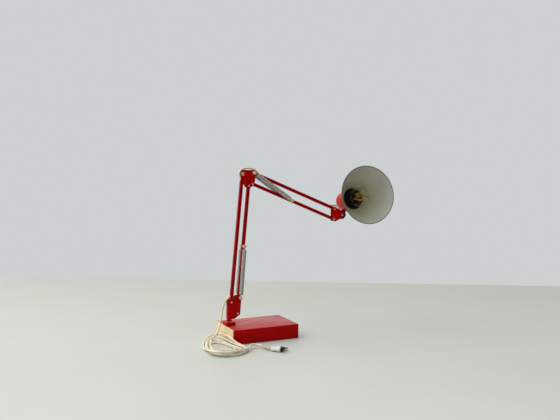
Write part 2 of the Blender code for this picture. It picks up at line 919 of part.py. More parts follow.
def shade():
    """A spun sheet cone on a short neck, with a rolled rim."""
    bead = 0.0013
    stations = [NECK_TO + (SHADE_RIM_AT - bead - NECK_TO) * k / 10 for k in range(1, 11)]
    outer = [(shade_radius(z), z) for z in reversed(stations)]
    outer += [(NECK_RADIUS, NECK_TO), (NECK_RADIUS, NECK_FROM)]
    inner = [(r - SHADE_SHEET, z) for r, z in reversed(outer)]
    centre = (outer[0][0] - SHADE_SHEET / 2 + 0.0002, SHADE_RIM_AT - bead)
    arc = [radians(150 - 30 * k) for k in range(6)]
    rim = [(centre[0] + bead * cos(a), centre[1] + bead * sin(a)) for a in arc]
    made = turned("shade", outer + inner + rim, RED, 56, closed=True)
    made.matrix_world = head_matrix()
    return made


def socket():
    """The black lampholder with the flange that fills the shade's neck."""
    profile = [
        (0, -0.020),
        (0.0142, -0.020),
        (0.0142, 0.0165),
        (0.0306, 0.0165),
        (0.0306, 0.0125),
        (0.0195, 0.0125),
        (0.0195, -0.034),
        (0.0150, -0.038),
        (0, -0.038),
    ]
    made = turned("lamp_socket", profile, BLACK, 40)
    made.matrix_world = head_matrix()
    return made


def bulb_glass():
    """A pear-shaped envelope, open at the cap."""
    wall = 0.0008
    turns = [radians(a) for a in range(0, 126, 14)]
    outer = [(BULB_RADIUS * sin(a), BULB_CENTRE + BULB_RADIUS * cos(a)) for a in turns]
    last = outer[-1]
    for share in (0.25, 0.5, 0.75, 1.0):
        ease = 1 - (1 - share) ** 1.7
        outer.append(
            (last[0] + (0.0128 - last[0]) * ease, last[1] + (BULB_BASE - last[1]) * share)
        )
    inner = [(max(0.0, r - wall), z) for r, z in outer[1:]]
    inner = [(0.0, outer[0][1] - wall)] + inner
    made = turned("bulb_glass", outer + list(reversed(inner)), GLASS, 32)
    made.matrix_world = head_matrix()
    return made


def bulb_cap():
    """The bulb's screw cap with its contact button."""
    pitch = 0.0036
    profile = [(0, BULB_BASE - GAP), (0.0130, BULB_BASE - GAP)]
    for k in range(5):
        level = BULB_BASE - 0.0022 - pitch * k
        profile += [(0.0136, level), (0.0126, level - pitch / 2)]
    profile += [(0.0050, -0.0085), (0.0045, -0.0115), (0, -0.0118)]
    made = turned("bulb_cap", profile, BRASS, 28)
    made.matrix_world = head_matrix()
    return made


def bulb_stem():
    """The glass stem that holds the filament inside the bulb."""
    profile = [(0, 0.046), (0.0022, 0.045), (0.0026, 0.032), (0.0080, 0.0145), (0, 0.0145)]
    made = turned("bulb_stem", profile, GLASS, 16)
    made.matrix_world = head_matrix()
    return made


def bulb_filament():
    """A waved loop of filament about the stem."""
    count = 20 * FILAMENT_WAVES
    places = []
    for k in range(count):
        angle = 2 * pi * k / count
        swing = cos(FILAMENT_WAVES * angle)
        reach = FILAMENT_REACH - FILAMENT_TAPER * swing
        level = FILAMENT_LEVEL + FILAMENT_SWING * swing
        places.append((reach * cos(angle), reach * sin(angle), level))
    made = wire("bulb_filament", places, FILAMENT_RADIUS, FILAMENT, 1, closed=True)
    made.matrix_world = head_matrix()
    return made


# ---------------------------------------------------------------- mains lead


def closed_outline(corners, parts=3):
    """A smooth closed outline through its corners."""
    outline = []
    count = len(corners)
    for i in range(count):
        a, b, c, d = (Vector(corners[(i + k - 1) % count]) for k in range(4))
        for k in range(parts):
            t = k / parts
            bend = 2 * a - 5 * b + 4 * c - d
            twist = 3 * b - a - 3 * c + d
            outline.append(tuple(0.5 * (2 * b + (c - a) * t + bend * t**2 + twist * t**3)))
    return outline


def cord_bundle():
    """The outer shape of the lead's open hank, lying on the floor beside the base."""
    loops = [closed_outline(BUNDLE_OUTLINE), closed_outline(BUNDLE_OPENING)]
    made = add("cord_bundle", flat_curve("cord_bundle", loops, BUNDLE_HEIGHT / 2), CREAM)
    made.location = (0, 0, BUNDLE_HEIGHT / 2)
    made = frozen(made)
    soften(made, 0.005)
    return made


def parted(points, reach):
    """Two runs of one smooth route, parted by a small gap at a distance from its start."""
    walked = 0.0
    at = 0
    while walked < reach:
        walked += (points[at + 1] - points[at]).length
        at += 1
    onward = (points[at] - points[at - 1]).normalized()
    second = [points[at] + onward * GAP, points[at] + onward * CORD_RADIUS] + points[at + 1 :]
    return points[: at + 1], second


def sleeve_and_drop():
    """The strain-relief sleeve at the bar and the stretch that hangs to the hank."""
    covered, bare = parted(smooth_route(LEAD_ROUTE, 2.2 * CORD_RADIUS), SLEEVE_LENGTH)
    taper = [1.0 - 0.12 * i / (len(covered) - 1) for i in range(len(covered))]
    wire("mains_cord", bare, CORD_RADIUS, CREAM)
    return wire("cord_sleeve", covered, SLEEVE_RADIUS, CREAM, 2, widths=taper)


def plug_way():
    return (Vector(PLUG_FRONT) - Vector(PLUG_BACK)).normalized()


def tail_and_relief():
    """The stretch that leaves the hank and the plug's flexible strain relief."""
    back = Vector(PLUG_BACK)
    mouth = [back - plug_way() * step for step in (0.0045, 0.0025, 1.5 * GAP)]
    route = smooth_route(list(TAIL_ROUTE) + mouth[:1], 2.2 * CORD_RADIUS) + mouth[1:]
    bare, covered = parted(route, TAIL_LENGTH)
    growth = [1.0 + 0.35 * i / (len(covered) - 1) for i in range(len(covered))]
    wire("cord_tail", bare, CORD_RADIUS, CREAM)
    wire("plug_relief", covered, RELIEF_RADIUS, WHITE, widths=growth)


def plug():
    """A flat two-pin plug body and its two round pins."""
    back = Vector(PLUG_BACK)
    front = Vector(PLUG_FRONT)
    way = plug_way()
    across = way.cross(Vector((0, 0, 1)))
    length = (front - back).length
    work = bmesh.new()
    sections = (
        (0.0, 0.0075, 0.0052),
        (0.0020, 0.0100, 0.0060),
        (length - 0.0030, 0.0145, 0.0064),
        (length, 0.0135, 0.0056),
    )
    sides = 20
    rings = []
    for reach, half_width, half_height in sections:
        ring = []
        for k in range(sides):
            a = 2 * pi * k / sides
            sideways = across * half_width * cos(a)
            upward = Vector((0, 0, 1)) * half_height * sin(a)
            ring.append(work.verts.new(back + way * reach + sideways + upward))
        rings.append(ring)
    for first, second in zip(rings, rings[1:]):
        for k in range(sides):
            n = (k + 1) % sides
            work.faces.new((first[k], second[k], second[n], first[n]))
    work.faces.new(rings[0])
    work.faces.new(list(reversed(rings[-1])))
    bmesh.ops.recalc_face_normals(work, faces=work.faces)
    mesh = bpy.data.meshes.new("plug_body")
    work.to_mesh(mesh)
    work.free()
    body = add("plug_body", mesh, WHITE)
    smooth(mesh)
    pins = []
    for name, side in (("plug_pin_left", -1), ("plug_pin_right", 1)):
        start = front + across * side * PIN_SPACING / 2 + way * GAP
        pins.append(rod(name, start, start + way * PIN_LENGTH, 0.0020, STEEL, 16))
    return [body] + pins


# ---------------------------------------------------------------- assembly


def build_base():
    base_cover()
    base_inside()
    foot_block()
    spindle_bush()
    cord_bundle()
    tail_and_relief()
    plug()


def build_lower():
    swivel = pivot("swivel_axis", (SPINDLE_X, 0, BRACKET_BOTTOM))
    lower_axis = pivot("lower_arm_axis", point(P1), swivel)
    parallel_axis = pivot("lower_parallel_axis", point(P2), swivel)
    peg_axis = pivot("lower_spring_axis", point(S1), swivel)
    tail_axis = pivot("lower_tail_axis", point(S2), parallel_axis)
    for piece in (
        spindle(),
        lower_bracket(),
        rivet("lower_rear_pivot", P1),
        rivet("lower_front_pivot", P2),
        stub_peg("lower_peg_near", S1, -1),
        stub_peg("lower_peg_far", S1, 1),
    ):
        carry(piece, swivel)
    rear = bar("lower_rear_bar", P1, LOWER_WAY, LOWER_ARM, slots=LOWER_SLOTS)
    cable = inner_cable("lower_cable", P1, LOWER_WAY, 0.0225, 0.3510)
    for piece in (rear, cable, sleeve_and_drop()):
        carry(piece, lower_axis)
    front = bar("lower_front_bar", P2, LOWER_WAY, LOWER_ARM, LOWER_PEG_ON_BAR)
    for piece in (front, through_peg("lower_bar_peg", S2, BAR / 2 + GAP)):
        carry(piece, parallel_axis)
    for word, side in (("near", -1), ("far", 1)):
        carry(spring("lower_spring_" + word, S1, S2, side), peg_axis)
        carry(spring_tail("lower_spring_tail_" + word, S1, S2, side, LOWER_TAIL), tail_axis)
    return lower_axis


def build_elbow(lower_axis):
    elbow = pivot("elbow_axis", point(Q1), lower_axis)
    holes = [(p, PIN_HOLE) for p in (Q1, Q2, R1, R2)]
    holes[1] = (Q2, PIN_HOLE + GAP)
    for piece in (
        plate("elbow_plate_near", ELBOW_CORNERS, holes, -1, RED, 0.0022),
        plate("elbow_plate_far", ELBOW_CORNERS, holes, 1, RED, 0.0022),
        rivet("elbow_rear_pivot", Q1),
        rivet("elbow_front_pivot", Q2, shank=PIN_RADIUS - 0.0002),
        rivet("elbow_lower_pivot", R2),
        through_peg("elbow_peg", R1, PLATE_OUTER + 0.0001),
        elbow_cable(),
    ):
        carry(piece, elbow)
    return elbow


def build_upper(elbow):
    upper_axis = pivot("upper_arm_axis", point(R1), elbow)
    parallel_axis = pivot("upper_parallel_axis", point(R2), elbow)
    spring_axis = pivot("upper_spring_axis", point(R1), elbow)
    tail_axis = pivot("upper_tail_axis", point(S4), parallel_axis)
    top = bar("upper_top_bar", R1, UPPER_WAY, UPPER_ARM, slots=UPPER_SLOTS)
    cable = inner_cable("upper_cable", R1, UPPER_WAY, 0.0220, 0.2740)
    for piece in (top, cable):
        carry(piece, upper_axis)
    bottom = bar("upper_bottom_bar", R2, UPPER_WAY, UPPER_ARM, UPPER_PEG_ON_BAR)
    for piece in (bottom, through_peg("upper_bar_peg", S4, BAR / 2 + GAP)):
        carry(piece, parallel_axis)
    ring_room = SPRING_END_RING + GAP
    for word, side in (("near", -1), ("far", 1)):
        carry(spring("upper_spring_" + word, R1, S4, side, ring_room), spring_axis)
        carry(spring_end("upper_spring_end_" + word, R1, S4, side), spring_axis)
        carry(spring_tail("upper_spring_tail_" + word, R1, S4, side, UPPER_TAIL), tail_axis)
    return upper_axis


def build_head(upper_axis):
    bracket = pivot("head_bracket_axis", point(T1), upper_axis)
    for piece in (
        head_cheek("head_cheek_near", -1),
        head_cheek("head_cheek_far", 1),
        rivet("head_upper_pivot", T1),
        rivet("head_lower_pivot", T2, shank=PIN_RADIUS - 0.0002),
        rivet("head_tilt_bolt", HEAD_PIN, head=0.0036),
        head_cable(),
    ):
        carry(piece, bracket)
    tilt_axis = pivot("head_tilt_axis", point(HEAD_PIN), bracket)
    for piece in (knuckle(), head_nipple()):
        carry(piece, tilt_axis)
    turn_axis = pivot("head_swivel_axis", point(HEAD_CENTRE), tilt_axis)
    for piece in (
        head_cap(),
        shade(),
        socket(),
        bulb_glass(),
        bulb_cap(),
        bulb_stem(),
        bulb_filament(),
    ):
        carry(piece, turn_axis)


build_base()
lower_arm_axis = build_lower()
elbow_axis = build_elbow(lower_arm_axis)
upper_arm_axis = build_upper(elbow_axis)
build_head(upper_arm_axis)
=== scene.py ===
"""Looks for the spring-balanced architect lamp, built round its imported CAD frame.

World frame in metres: the origin is the centre of the base's underside, +Z is up, +X runs along
the base from the spindle end, and the arms move in the plane y = 0.
"""

from math import cos, hypot, pi, radians, sin

import bmesh
import bpy
from mathutils import Matrix, Vector


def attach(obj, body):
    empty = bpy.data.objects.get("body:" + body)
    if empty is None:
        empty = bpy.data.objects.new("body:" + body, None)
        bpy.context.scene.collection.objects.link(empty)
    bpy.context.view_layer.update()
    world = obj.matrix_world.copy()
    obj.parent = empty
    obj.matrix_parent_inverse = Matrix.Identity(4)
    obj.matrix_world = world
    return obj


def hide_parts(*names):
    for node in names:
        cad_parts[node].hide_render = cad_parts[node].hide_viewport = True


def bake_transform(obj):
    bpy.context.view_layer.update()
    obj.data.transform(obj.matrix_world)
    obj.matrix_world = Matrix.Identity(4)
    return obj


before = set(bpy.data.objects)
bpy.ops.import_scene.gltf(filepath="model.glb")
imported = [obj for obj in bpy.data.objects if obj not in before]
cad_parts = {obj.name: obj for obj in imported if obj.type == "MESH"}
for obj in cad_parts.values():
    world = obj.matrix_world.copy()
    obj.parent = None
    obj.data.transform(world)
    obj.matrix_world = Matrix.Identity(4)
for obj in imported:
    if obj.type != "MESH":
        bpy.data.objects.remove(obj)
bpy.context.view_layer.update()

# ---------------------------------------------------------------- sizes shared with the CAD

LOWER_PIN = (-0.0836, 0.1083)
LOWER_OFFSET = (0.0196, -0.0341)
LOWER_ARM = 0.370
LOWER_LEAN = radians(4.65)
ELBOW_SPAN = (0.0340, 0.0033)
UPPER_OFFSET = (-0.0030, -0.0314)
UPPER_ARM = 0.296
UPPER_DROOP = radians(21.1)
HEAD_PIN_OFFSET = (0.0270, -0.0187)
LOWER_PEG = (-0.0581, 0.1203)
LOWER_PEG_ON_BAR = 0.1951
UPPER_PEG_ON_BAR = 0.1357
STUB_REACH = 0.056
STUB_ANGLE = radians(57.3)
SHADE_TURN = radians(-5.7)
SHADE_RISE = radians(9.3)
SPINDLE_X = -0.0885
PLATE_OUTER = 0.0060
BAR_HALF = 0.0045
PIN_RADIUS = 0.0019
RIVET_HEAD = 0.0032
RIVET_RISE = 0.0010
SPRING_Y = 0.0125
HOOK_REACH = 0.0085
HOOK_EYE = 0.0034
COIL_RADIUS = 0.0055
COIL_WIRE = 0.00058
CORD_RADIUS = 0.0027
SLEEVE_LENGTH = 0.022
SLEEVE_RADIUS = 0.0034


def plus(pair, offset, scale=1.0):
    """A point of the arm plane, moved by a scaled offset."""
    return (pair[0] + offset[0] * scale, pair[1] + offset[1] * scale)


def point(pair, y=0.0):
    """A point of the arm plane, given as (x, z), moved sideways to y."""
    return Vector((pair[0], y, pair[1]))


def beside(pin, way, along, across):
    """A point of the arm plane at a distance along a bar and to the left of its way."""
    return (pin[0] + way[0] * along - way[1] * across, pin[1] + way[1] * along + way[0] * across)


LOWER_WAY = (sin(LOWER_LEAN), cos(LOWER_LEAN))
UPPER_WAY = (cos(UPPER_DROOP), -sin(UPPER_DROOP))
STUB_WAY = (cos(STUB_ANGLE), sin(STUB_ANGLE))
P1 = LOWER_PIN
P2 = plus(P1, LOWER_OFFSET)
Q1 = plus(P1, LOWER_WAY, LOWER_ARM)
Q2 = plus(P2, LOWER_WAY, LOWER_ARM)
R1 = plus(Q1, ELBOW_SPAN)
R2 = plus(R1, UPPER_OFFSET)
T1 = plus(R1, UPPER_WAY, UPPER_ARM)
T2 = plus(R2, UPPER_WAY, UPPER_ARM)
HEAD_PIN = plus(T1, HEAD_PIN_OFFSET)
S1 = LOWER_PEG
S2 = plus(P2, LOWER_WAY, LOWER_PEG_ON_BAR)
S4 = plus(R2, UPPER_WAY, UPPER_PEG_ON_BAR)
HEAD_CENTRE = plus(HEAD_PIN, STUB_WAY, STUB_REACH)


def head_frame():
    """Local +Z is the shade's axis towards its rim."""
    level = cos(SHADE_RISE)
    axis = Vector((sin(SHADE_TURN) * level, -cos(SHADE_TURN) * level, sin(SHADE_RISE)))
    stub = -point(STUB_WAY)
    across = (stub - axis * stub.dot(axis)).normalized()
    turn = Matrix((across, axis.cross(across), axis)).transposed().to_4x4()
    return Matrix.Translation(point(HEAD_CENTRE)) @ turn


HEAD = head_frame()


# ---------------------------------------------------------------- camera and light

VIEW_PLACE = (-0.779, -1.6905, 0.4786)
VIEW_YAW = radians(26.65)
VIEW_PITCH = radians(3.23)
VIEW_ROLL = radians(0.92)
VIEW_LENS = 41.14
BACKDROP = (0.610, 0.631, 0.634)
SKY = (0.97, 1.0, 0.99)
# The sky is brightest towards this side; the span gives the cosines and the strengths between
# which it brightens.
BRIGHT_SIDE = Vector((-0.48, 0.42, 0.78))
SKY_SPAN = (-0.50, 0.80, 0.045, 1.08)
FLOOR_HALF = (4.0, 2.2)
FLOOR_CENTRE = (-0.496, -1.127, 0.0)
FLOOR_TURN = VIEW_YAW + radians(0.5)
KEY_PLACE = (-1.5, 0.5, 2.4)
KEY_TARGET = (0, 0, 0.15)
KEY_SIZE = 1.8
KEY_POWER = 27


def camera():
    """The viewpoint: low, from the left of the front, a little rolled."""
    yaw, pitch = VIEW_YAW, VIEW_PITCH
    ahead = Vector((sin(yaw) * cos(pitch), cos(yaw) * cos(pitch), -sin(pitch)))
    level = Vector((cos(yaw), -sin(yaw), 0))
    upright = level.cross(ahead)
    right = level * cos(VIEW_ROLL) + upright * sin(VIEW_ROLL)
    up = upright * cos(VIEW_ROLL) - level * sin(VIEW_ROLL)
    data = bpy.data.cameras.new("view")
    data.lens = VIEW_LENS
    data.sensor_width = 36
    data.clip_end = 60
    made = bpy.data.objects.new("view", data)
    bpy.context.scene.collection.objects.link(made)
    turn = Matrix((right, up, -ahead)).transposed().to_4x4()
    made.matrix_world = Matrix.Translation(VIEW_PLACE) @ turn
    bpy.context.scene.camera = made


def key_light():
    """One large soft light above and a little behind the lamp, on the left."""
    data = bpy.data.lights.new("key", "AREA")
    data.shape = "RECTANGLE"
    data.size, data.size_y = KEY_SIZE, KEY_SIZE
    data.energy = KEY_POWER
    made = bpy.data.objects.new("key", data)
    bpy.context.scene.collection.objects.link(made)
    made.location = KEY_PLACE
    made.rotation_mode = "QUATERNION"
    made.rotation_quaternion = (Vector(KEY_TARGET) - Vector(KEY_PLACE)).to_track_quat("-Z", "Y")


def studio():
    """A pale backdrop, with soft light from above, the left and behind, and little from the front."""
    bpy.context.scene.view_settings.view_transform = "Standard"
    world = bpy.data.worlds.new("studio")
    bpy.context.scene.world = world
    world.use_nodes = True
    tree = world.node_tree
    make = tree.nodes.new
    way = make("ShaderNodeTexCoord").outputs["Generated"]
    facing = make("ShaderNodeVectorMath")
    facing.operation = "DOT_PRODUCT"
    facing.inputs[1].default_value = BRIGHT_SIDE.normalized()
    tree.links.new(way, facing.inputs[0])
    level = make("ShaderNodeMapRange")
    level.interpolation_type = "SMOOTHSTEP"
    for socket, value in zip(("From Min", "From Max", "To Min", "To Max"), SKY_SPAN):
        level.inputs[socket].default_value = value
    tree.links.new(facing.outputs["Value"], level.inputs["Value"])
    backdrop = tree.nodes["Background"]
    backdrop.inputs["Color"].default_value = (*BACKDROP, 1)
    sky = make("ShaderNodeBackground")
    sky.inputs["Color"].default_value = (*SKY, 1)
    tree.links.new(level.outputs["Result"], sky.inputs["Strength"])
    seen = make("ShaderNodeLightPath").outputs["Is Camera Ray"]
    either = make("ShaderNodeMixShader")
    tree.links.new(seen, either.inputs[0])
    tree.links.new(sky.outputs[0], either.inputs[1])
    tree.links.new(backdrop.outputs[0], either.inputs[2])
    tree.links.new(either.outputs[0], tree.nodes["World Output"].inputs["Surface"])
    key_light()


# ---------------------------------------------------------------- materials


class Nodes:
    """Short hand for wiring one material's shader graph."""

    def __init__(self, name):
        self.material = bpy.data.materials.new(name)
        self.material.use_nodes = True
        self.tree = self.material.node_tree
        self.shader = self.tree.nodes["Principled BSDF"]
        self.place = self.add("ShaderNodeTexCoord").outputs["Object"]

    def add(self, kind, **inputs):
        node = self.tree.nodes.new(kind)
        for key, value in inputs.items():
            self.put(node, key.replace("_", " "), value)
        return node

    def put(self, node, socket, value):
        if isinstance(value, bpy.types.NodeSocket):
            self.tree.links.new(value, node.inputs[socket])
        else:
            node.inputs[socket].default_value = value

    def noise(self, scale, detail=3.0, roughness=0.55):
        node = self.add("ShaderNodeTexNoise", Vector=self.place, Scale=scale, Detail=detail)
        node.inputs["Roughness"].default_value = roughness
        return node.outputs["Fac"]

    def ramp(self, value, stops):
        node = self.add("ShaderNodeValToRGB", Fac=value)
        band = node.color_ramp
        band.elements[0].position, band.elements[1].position = stops[0][0], stops[-1][0]
        band.elements[0].color = (*stops[0][1], 1)
        band.elements[1].color = (*stops[-1][1], 1)
        for position, colour in stops[1:-1]:
            band.elements.new(position).color = (*colour, 1)
        return node.outputs["Color"]

    def span(self, value, low, high, from_low=0.3, from_high=0.7):
        node = self.add("ShaderNodeMapRange", Value=value)
        node.inputs["From Min"].default_value = from_low
        node.inputs["From Max"].default_value = from_high
        node.inputs["To Min"].default_value = low
        node.inputs["To Max"].default_value = high
        return node.outputs["Result"]

    def mix(self, share, first, second):
        node = self.tree.nodes.new("ShaderNodeMix")
        node.data_type = "RGBA"
        self.put(node, 0, share)
        for socket, value in ((6, first), (7, second)):
            if isinstance(value, tuple):
                value = (*value, 1)
            self.put(node, socket, value)
        return node.outputs[2]

    def math(self, operation, first, second):
        node = self.tree.nodes.new("ShaderNodeMath")
        node.operation = operation
        self.put(node, 0, first)
        self.put(node, 1, second)
        return node.outputs[0]

    def edges(self, radius):
        """About 1 along sharp outer edges and 0 on flats."""
        bevel = self.add("ShaderNodeBevel", Radius=radius)
        bevel.samples = 4
        flat = self.add("ShaderNodeNewGeometry").outputs["Normal"]
        dot = self.tree.nodes.new("ShaderNodeVectorMath")
        dot.operation = "DOT_PRODUCT"
        self.tree.links.new(bevel.outputs["Normal"], dot.inputs[0])
        self.tree.links.new(flat, dot.inputs[1])
        return self.span(dot.outputs["Value"], 1.0, 0.0, 0.90, 0.995)

    def facing_up(self):
        """About 1 where the surface faces up and 0 where it is steep."""
        split = self.tree.nodes.new("ShaderNodeSeparateXYZ")
        self.put(split, 0, self.add("ShaderNodeNewGeometry").outputs["Normal"])
        return self.span(split.outputs["Z"], 0.0, 1.0, 0.35, 0.95)

    def along(self, way, start, end):
        """0 at start and 1 at end, measured along a direction in the object's frame."""
        dot = self.tree.nodes.new("ShaderNodeVectorMath")
        dot.operation = "DOT_PRODUCT"
        self.put(dot, 0, self.place)
        self.put(dot, 1, tuple(way))
        return self.span(dot.outputs["Value"], 0.0, 1.0, start, end)

    def bump(self, height, strength, distance):
        node = self.add("ShaderNodeBump", Height=height)
        node.inputs["Strength"].default_value = strength
        node.inputs["Distance"].default_value = distance
        self.tree.links.new(node.outputs["Normal"], self.shader.inputs["Normal"])

    def set(self, **values):
        for key, value in values.items():
            self.put(self.shader, key.replace("_", " "), value)
        return self.material


def enamel(name, deep, light, under, shine=0.055, gloss=(0.12, 0.22), chips=0.72, dust_and_sheen=0.085):
    """Stoved gloss paint: orange peel, dulled patches, a few chips, worn edges, and on upward faces settled
    dust with a painted sheen.
    """
    n = Nodes(name)
    tone = n.ramp(n.noise(38, 4), [(0.35, deep), (0.68, light)])
    chip = n.ramp(n.noise(420, 5, 0.7), [(chips, (0, 0, 0)), (chips + 0.02, (1, 1, 1))])
    patch = n.ramp(n.noise(21, 2), [(0.55, (0, 0, 0)), (0.66, (1, 1, 1))])
    worn = n.math("MULTIPLY", n.edges(0.0009), n.span(n.noise(260, 4), 0, 1, 0.54, 0.68))
    marks = n.math("MAXIMUM", n.math("MULTIPLY", chip, patch), n.math("MULTIPLY", worn, 0.45))
    # Whitish on upward faces: partly settled dust, partly a painted sheen that stands for the reflection on
    # the tops.
    dust_and_sheen_share = n.math("MULTIPLY", n.facing_up(), n.span(n.noise(60, 6, 0.65), 0.75 * dust_and_sheen, 1.3 * dust_and_sheen))
    n.bump(n.noise(1500, 2), 0.05, 0.0006)
    return n.set(
        Base_Color=n.mix(dust_and_sheen_share, n.mix(marks, tone, under), (0.80, 0.74, 0.70)),
        Roughness=n.span(n.noise(70, 5), *gloss),
        Specular_IOR_Level=shine,
    )


def plastic(name, base, stain, gloss=(0.34, 0.52), grain=1100, relief=0.10, dirt=0.62, shine=0.5):
    """Moulded plastic or flexible sheath with a fine grain and handling dirt."""
    n = Nodes(name)
    grime = n.ramp(n.noise(55, 5, 0.65), [(dirt - 0.22, (0, 0, 0)), (dirt + 0.12, (1, 1, 1))])
    n.bump(n.noise(grain, 3), relief, 0.0004)
    return n.set(
        Base_Color=n.mix(n.math("MULTIPLY", grime, 0.75), base, stain),
        Roughness=n.span(n.noise(120, 4), *gloss),
        Specular_IOR_Level=shine,
    )


def metal(name, base, dull, gloss=(0.22, 0.42), tarnish=0.58, relief=0.12, metallic=1.0):
    """Plated or bare metal with dulled patches and a fine surface grain."""
    n = Nodes(name)
    spots = n.ramp(n.noise(130, 5, 0.6), [(tarnish - 0.2, base), (tarnish + 0.14, dull)])
    n.bump(n.noise(700, 4), relief, 0.0003)
    return n.set(Base_Color=spots, Metallic=metallic, Roughness=n.span(n.noise(300, 4), *gloss))


def shade_lining():
    """Baked white lining, yellowed deep in the shade and cleaner towards the rim. Deep inside it is also
    painted lighter, as painted light against the shade that falls there, and towards the rim it is painted
    darker as painted shade.
    """
    n = Nodes("shade_lining")
    # The deep colour is yellowed and painted lighter (painted light); the rim colour is greyer and painted
    # darker (painted shade).
    yellowed_painted_light = n.ramp(n.noise(17, 4, 0.6), [(0.32, (0.66, 0.63, 0.43)), (0.70, (0.76, 0.73, 0.53))])
    greyer_painted_shade = n.ramp(n.noise(15, 4, 0.6), [(0.32, (0.40, 0.41, 0.35)), (0.70, (0.49, 0.50, 0.44))])
    centre = HEAD.translation.dot(HEAD.col[2].to_3d())
    depth = n.along(HEAD.col[2].to_3d(), centre + 0.030, centre + 0.100)
    speck = n.ramp(n.noise(900, 3, 0.8), [(0.70, (0, 0, 0)), (0.75, (1, 1, 1))])
    n.bump(n.noise(1300, 2), 0.06, 0.0005)
    tone = n.mix(depth, yellowed_painted_light, greyer_painted_shade)
    return n.set(
        Base_Color=n.mix(n.math("MULTIPLY", speck, 0.4), tone, (0.24, 0.21, 0.15)),
        Roughness=n.span(n.noise(80, 4), 0.32, 0.50),
        Specular_IOR_Level=0.4,
    )


def worn_rim():
    """The shade's rolled edge, its paint rubbed down to a dull brown."""
    n = Nodes("worn_rim_edge")
    stops = [(0.38, (0.11, 0.075, 0.045)), (0.55, (0.20, 0.16, 0.11)), (0.68, (0.34, 0.06, 0.045))]
    tone = n.ramp(n.noise(55, 5, 0.7), stops)
    n.bump(n.noise(700, 3), 0.15, 0.0004)
    return n.set(Base_Color=tone, Roughness=n.span(n.noise(200, 4), 0.40, 0.62), Specular_IOR_Level=0.3)


def glass():
    """Clear glass that lets lamps straight through, so the thin bulb throws no dark patch."""
    n = Nodes("bulb_glass_clear")
    n.bump(n.noise(60, 2), 0.03, 0.0006)
    n.set(
        Base_Color=(0.98, 0.97, 0.93, 1),
        Roughness=n.span(n.noise(90, 4), 0.0, 0.05),
        Transmission_Weight=1.0,
        IOR=1.18,
    )
    either = n.tree.nodes.new("ShaderNodeMixShader")
    open_way = n.tree.nodes.new("ShaderNodeBsdfTransparent")
    n.put(either, 0, n.add("ShaderNodeLightPath").outputs["Is Shadow Ray"])
    n.put(either, 1, n.shader.outputs[0])
    n.put(either, 2, open_way.outputs[0])
    n.put(n.tree.nodes["Material Output"], "Surface", either.outputs[0])
    return n.material


def filament_wire():
    """The gold coating of the filament rods."""
    n = Nodes("filament_gold")
    tone = n.ramp(n.noise(400, 2), [(0.4, (0.72, 0.40, 0.05)), (0.6, (0.92, 0.60, 0.12))])
    n.bump(n.noise(2200, 2), 0.2, 0.0002)
    return n.set(Base_Color=tone, Roughness=n.span(n.noise(900, 2), 0.25, 0.45))


def cast_iron():
    """Rough dark iron for the weight inside the base."""
    n = Nodes("cast_iron_rough")
    n.bump(n.noise(500, 6, 0.7), 0.6, 0.0008)
    tone = n.ramp(n.noise(90, 5), [(0.35, (0.035, 0.03, 0.028)), (0.7, (0.10, 0.075, 0.06))])
    return n.set(Base_Color=tone, Metallic=0.7, Roughness=n.span(n.noise(240, 4), 0.6, 0.85))


def pale_floor():
    """A pale floor, painted a little darker far from the viewpoint as painted shade."""
    n = Nodes("pale_floor")
    near = n.ramp(n.noise(1.7, 6, 0.6), [(0.3, (0.655, 0.655, 0.62)), (0.7, (0.725, 0.725, 0.69))])
    # Darker far from the viewpoint: painted shade.
    tone = n.mix(n.along((0, 1, 0), -0.4, 2.0), near, (0.53, 0.53, 0.48))
    n.bump(n.noise(30, 6, 0.6), 0.10, 0.002)
    return n.set(
        Base_Color=tone, Roughness=n.span(n.noise(4, 5), 0.42, 0.60), Specular_IOR_Level=0.3
    )


RED = enamel("red_gloss_enamel", (0.40, 0.0006, 0.0008), (0.49, 0.0014, 0.0016), (0.12, 0.030, 0.025))
# The same red enamel made darker for the arm bars: painted shade.
SHADED_BAR_RED = enamel(
    "red_enamel_painted_shade", (0.29, 0.0005, 0.0007), (0.36, 0.0010, 0.0012), (0.10, 0.022, 0.018), shine=0.05
)
CREAM_PAINT = enamel(
    "cream_gloss_enamel", (0.80, 0.62, 0.33), (0.88, 0.70, 0.40), (0.34, 0.27, 0.17),
    shine=0.3, gloss=(0.28, 0.45), chips=0.70, dust_and_sheen=0.03,
)
CREAM = plastic("cream_plastic", (0.76, 0.62, 0.42), (0.50, 0.36, 0.20), (0.28, 0.45), 900, 0.06)
LEAD = plastic("cream_sheath", (0.88, 0.81, 0.62), (0.60, 0.48, 0.29), (0.36, 0.50), 1600, 0.08)
WHITE = plastic("white_moulding", (0.82, 0.81, 0.77), (0.58, 0.55, 0.46), (0.26, 0.42), 1300, 0.06)
# A darker, brownish white, used for the plug's strain relief.
BROWNISH_WHITE = plastic(
    "brownish_white_moulding", (0.62, 0.56, 0.44), (0.34, 0.27, 0.18), grain=1300, relief=0.08, dirt=0.50
)
BLACK = plastic(
    "black_moulding", (0.0030, 0.0030, 0.0032), (0.012, 0.011, 0.010), grain=1500, relief=0.14, shine=0.25
)
ZINC = metal("zinc_plate", (0.66, 0.63, 0.56), (0.36, 0.33, 0.28))
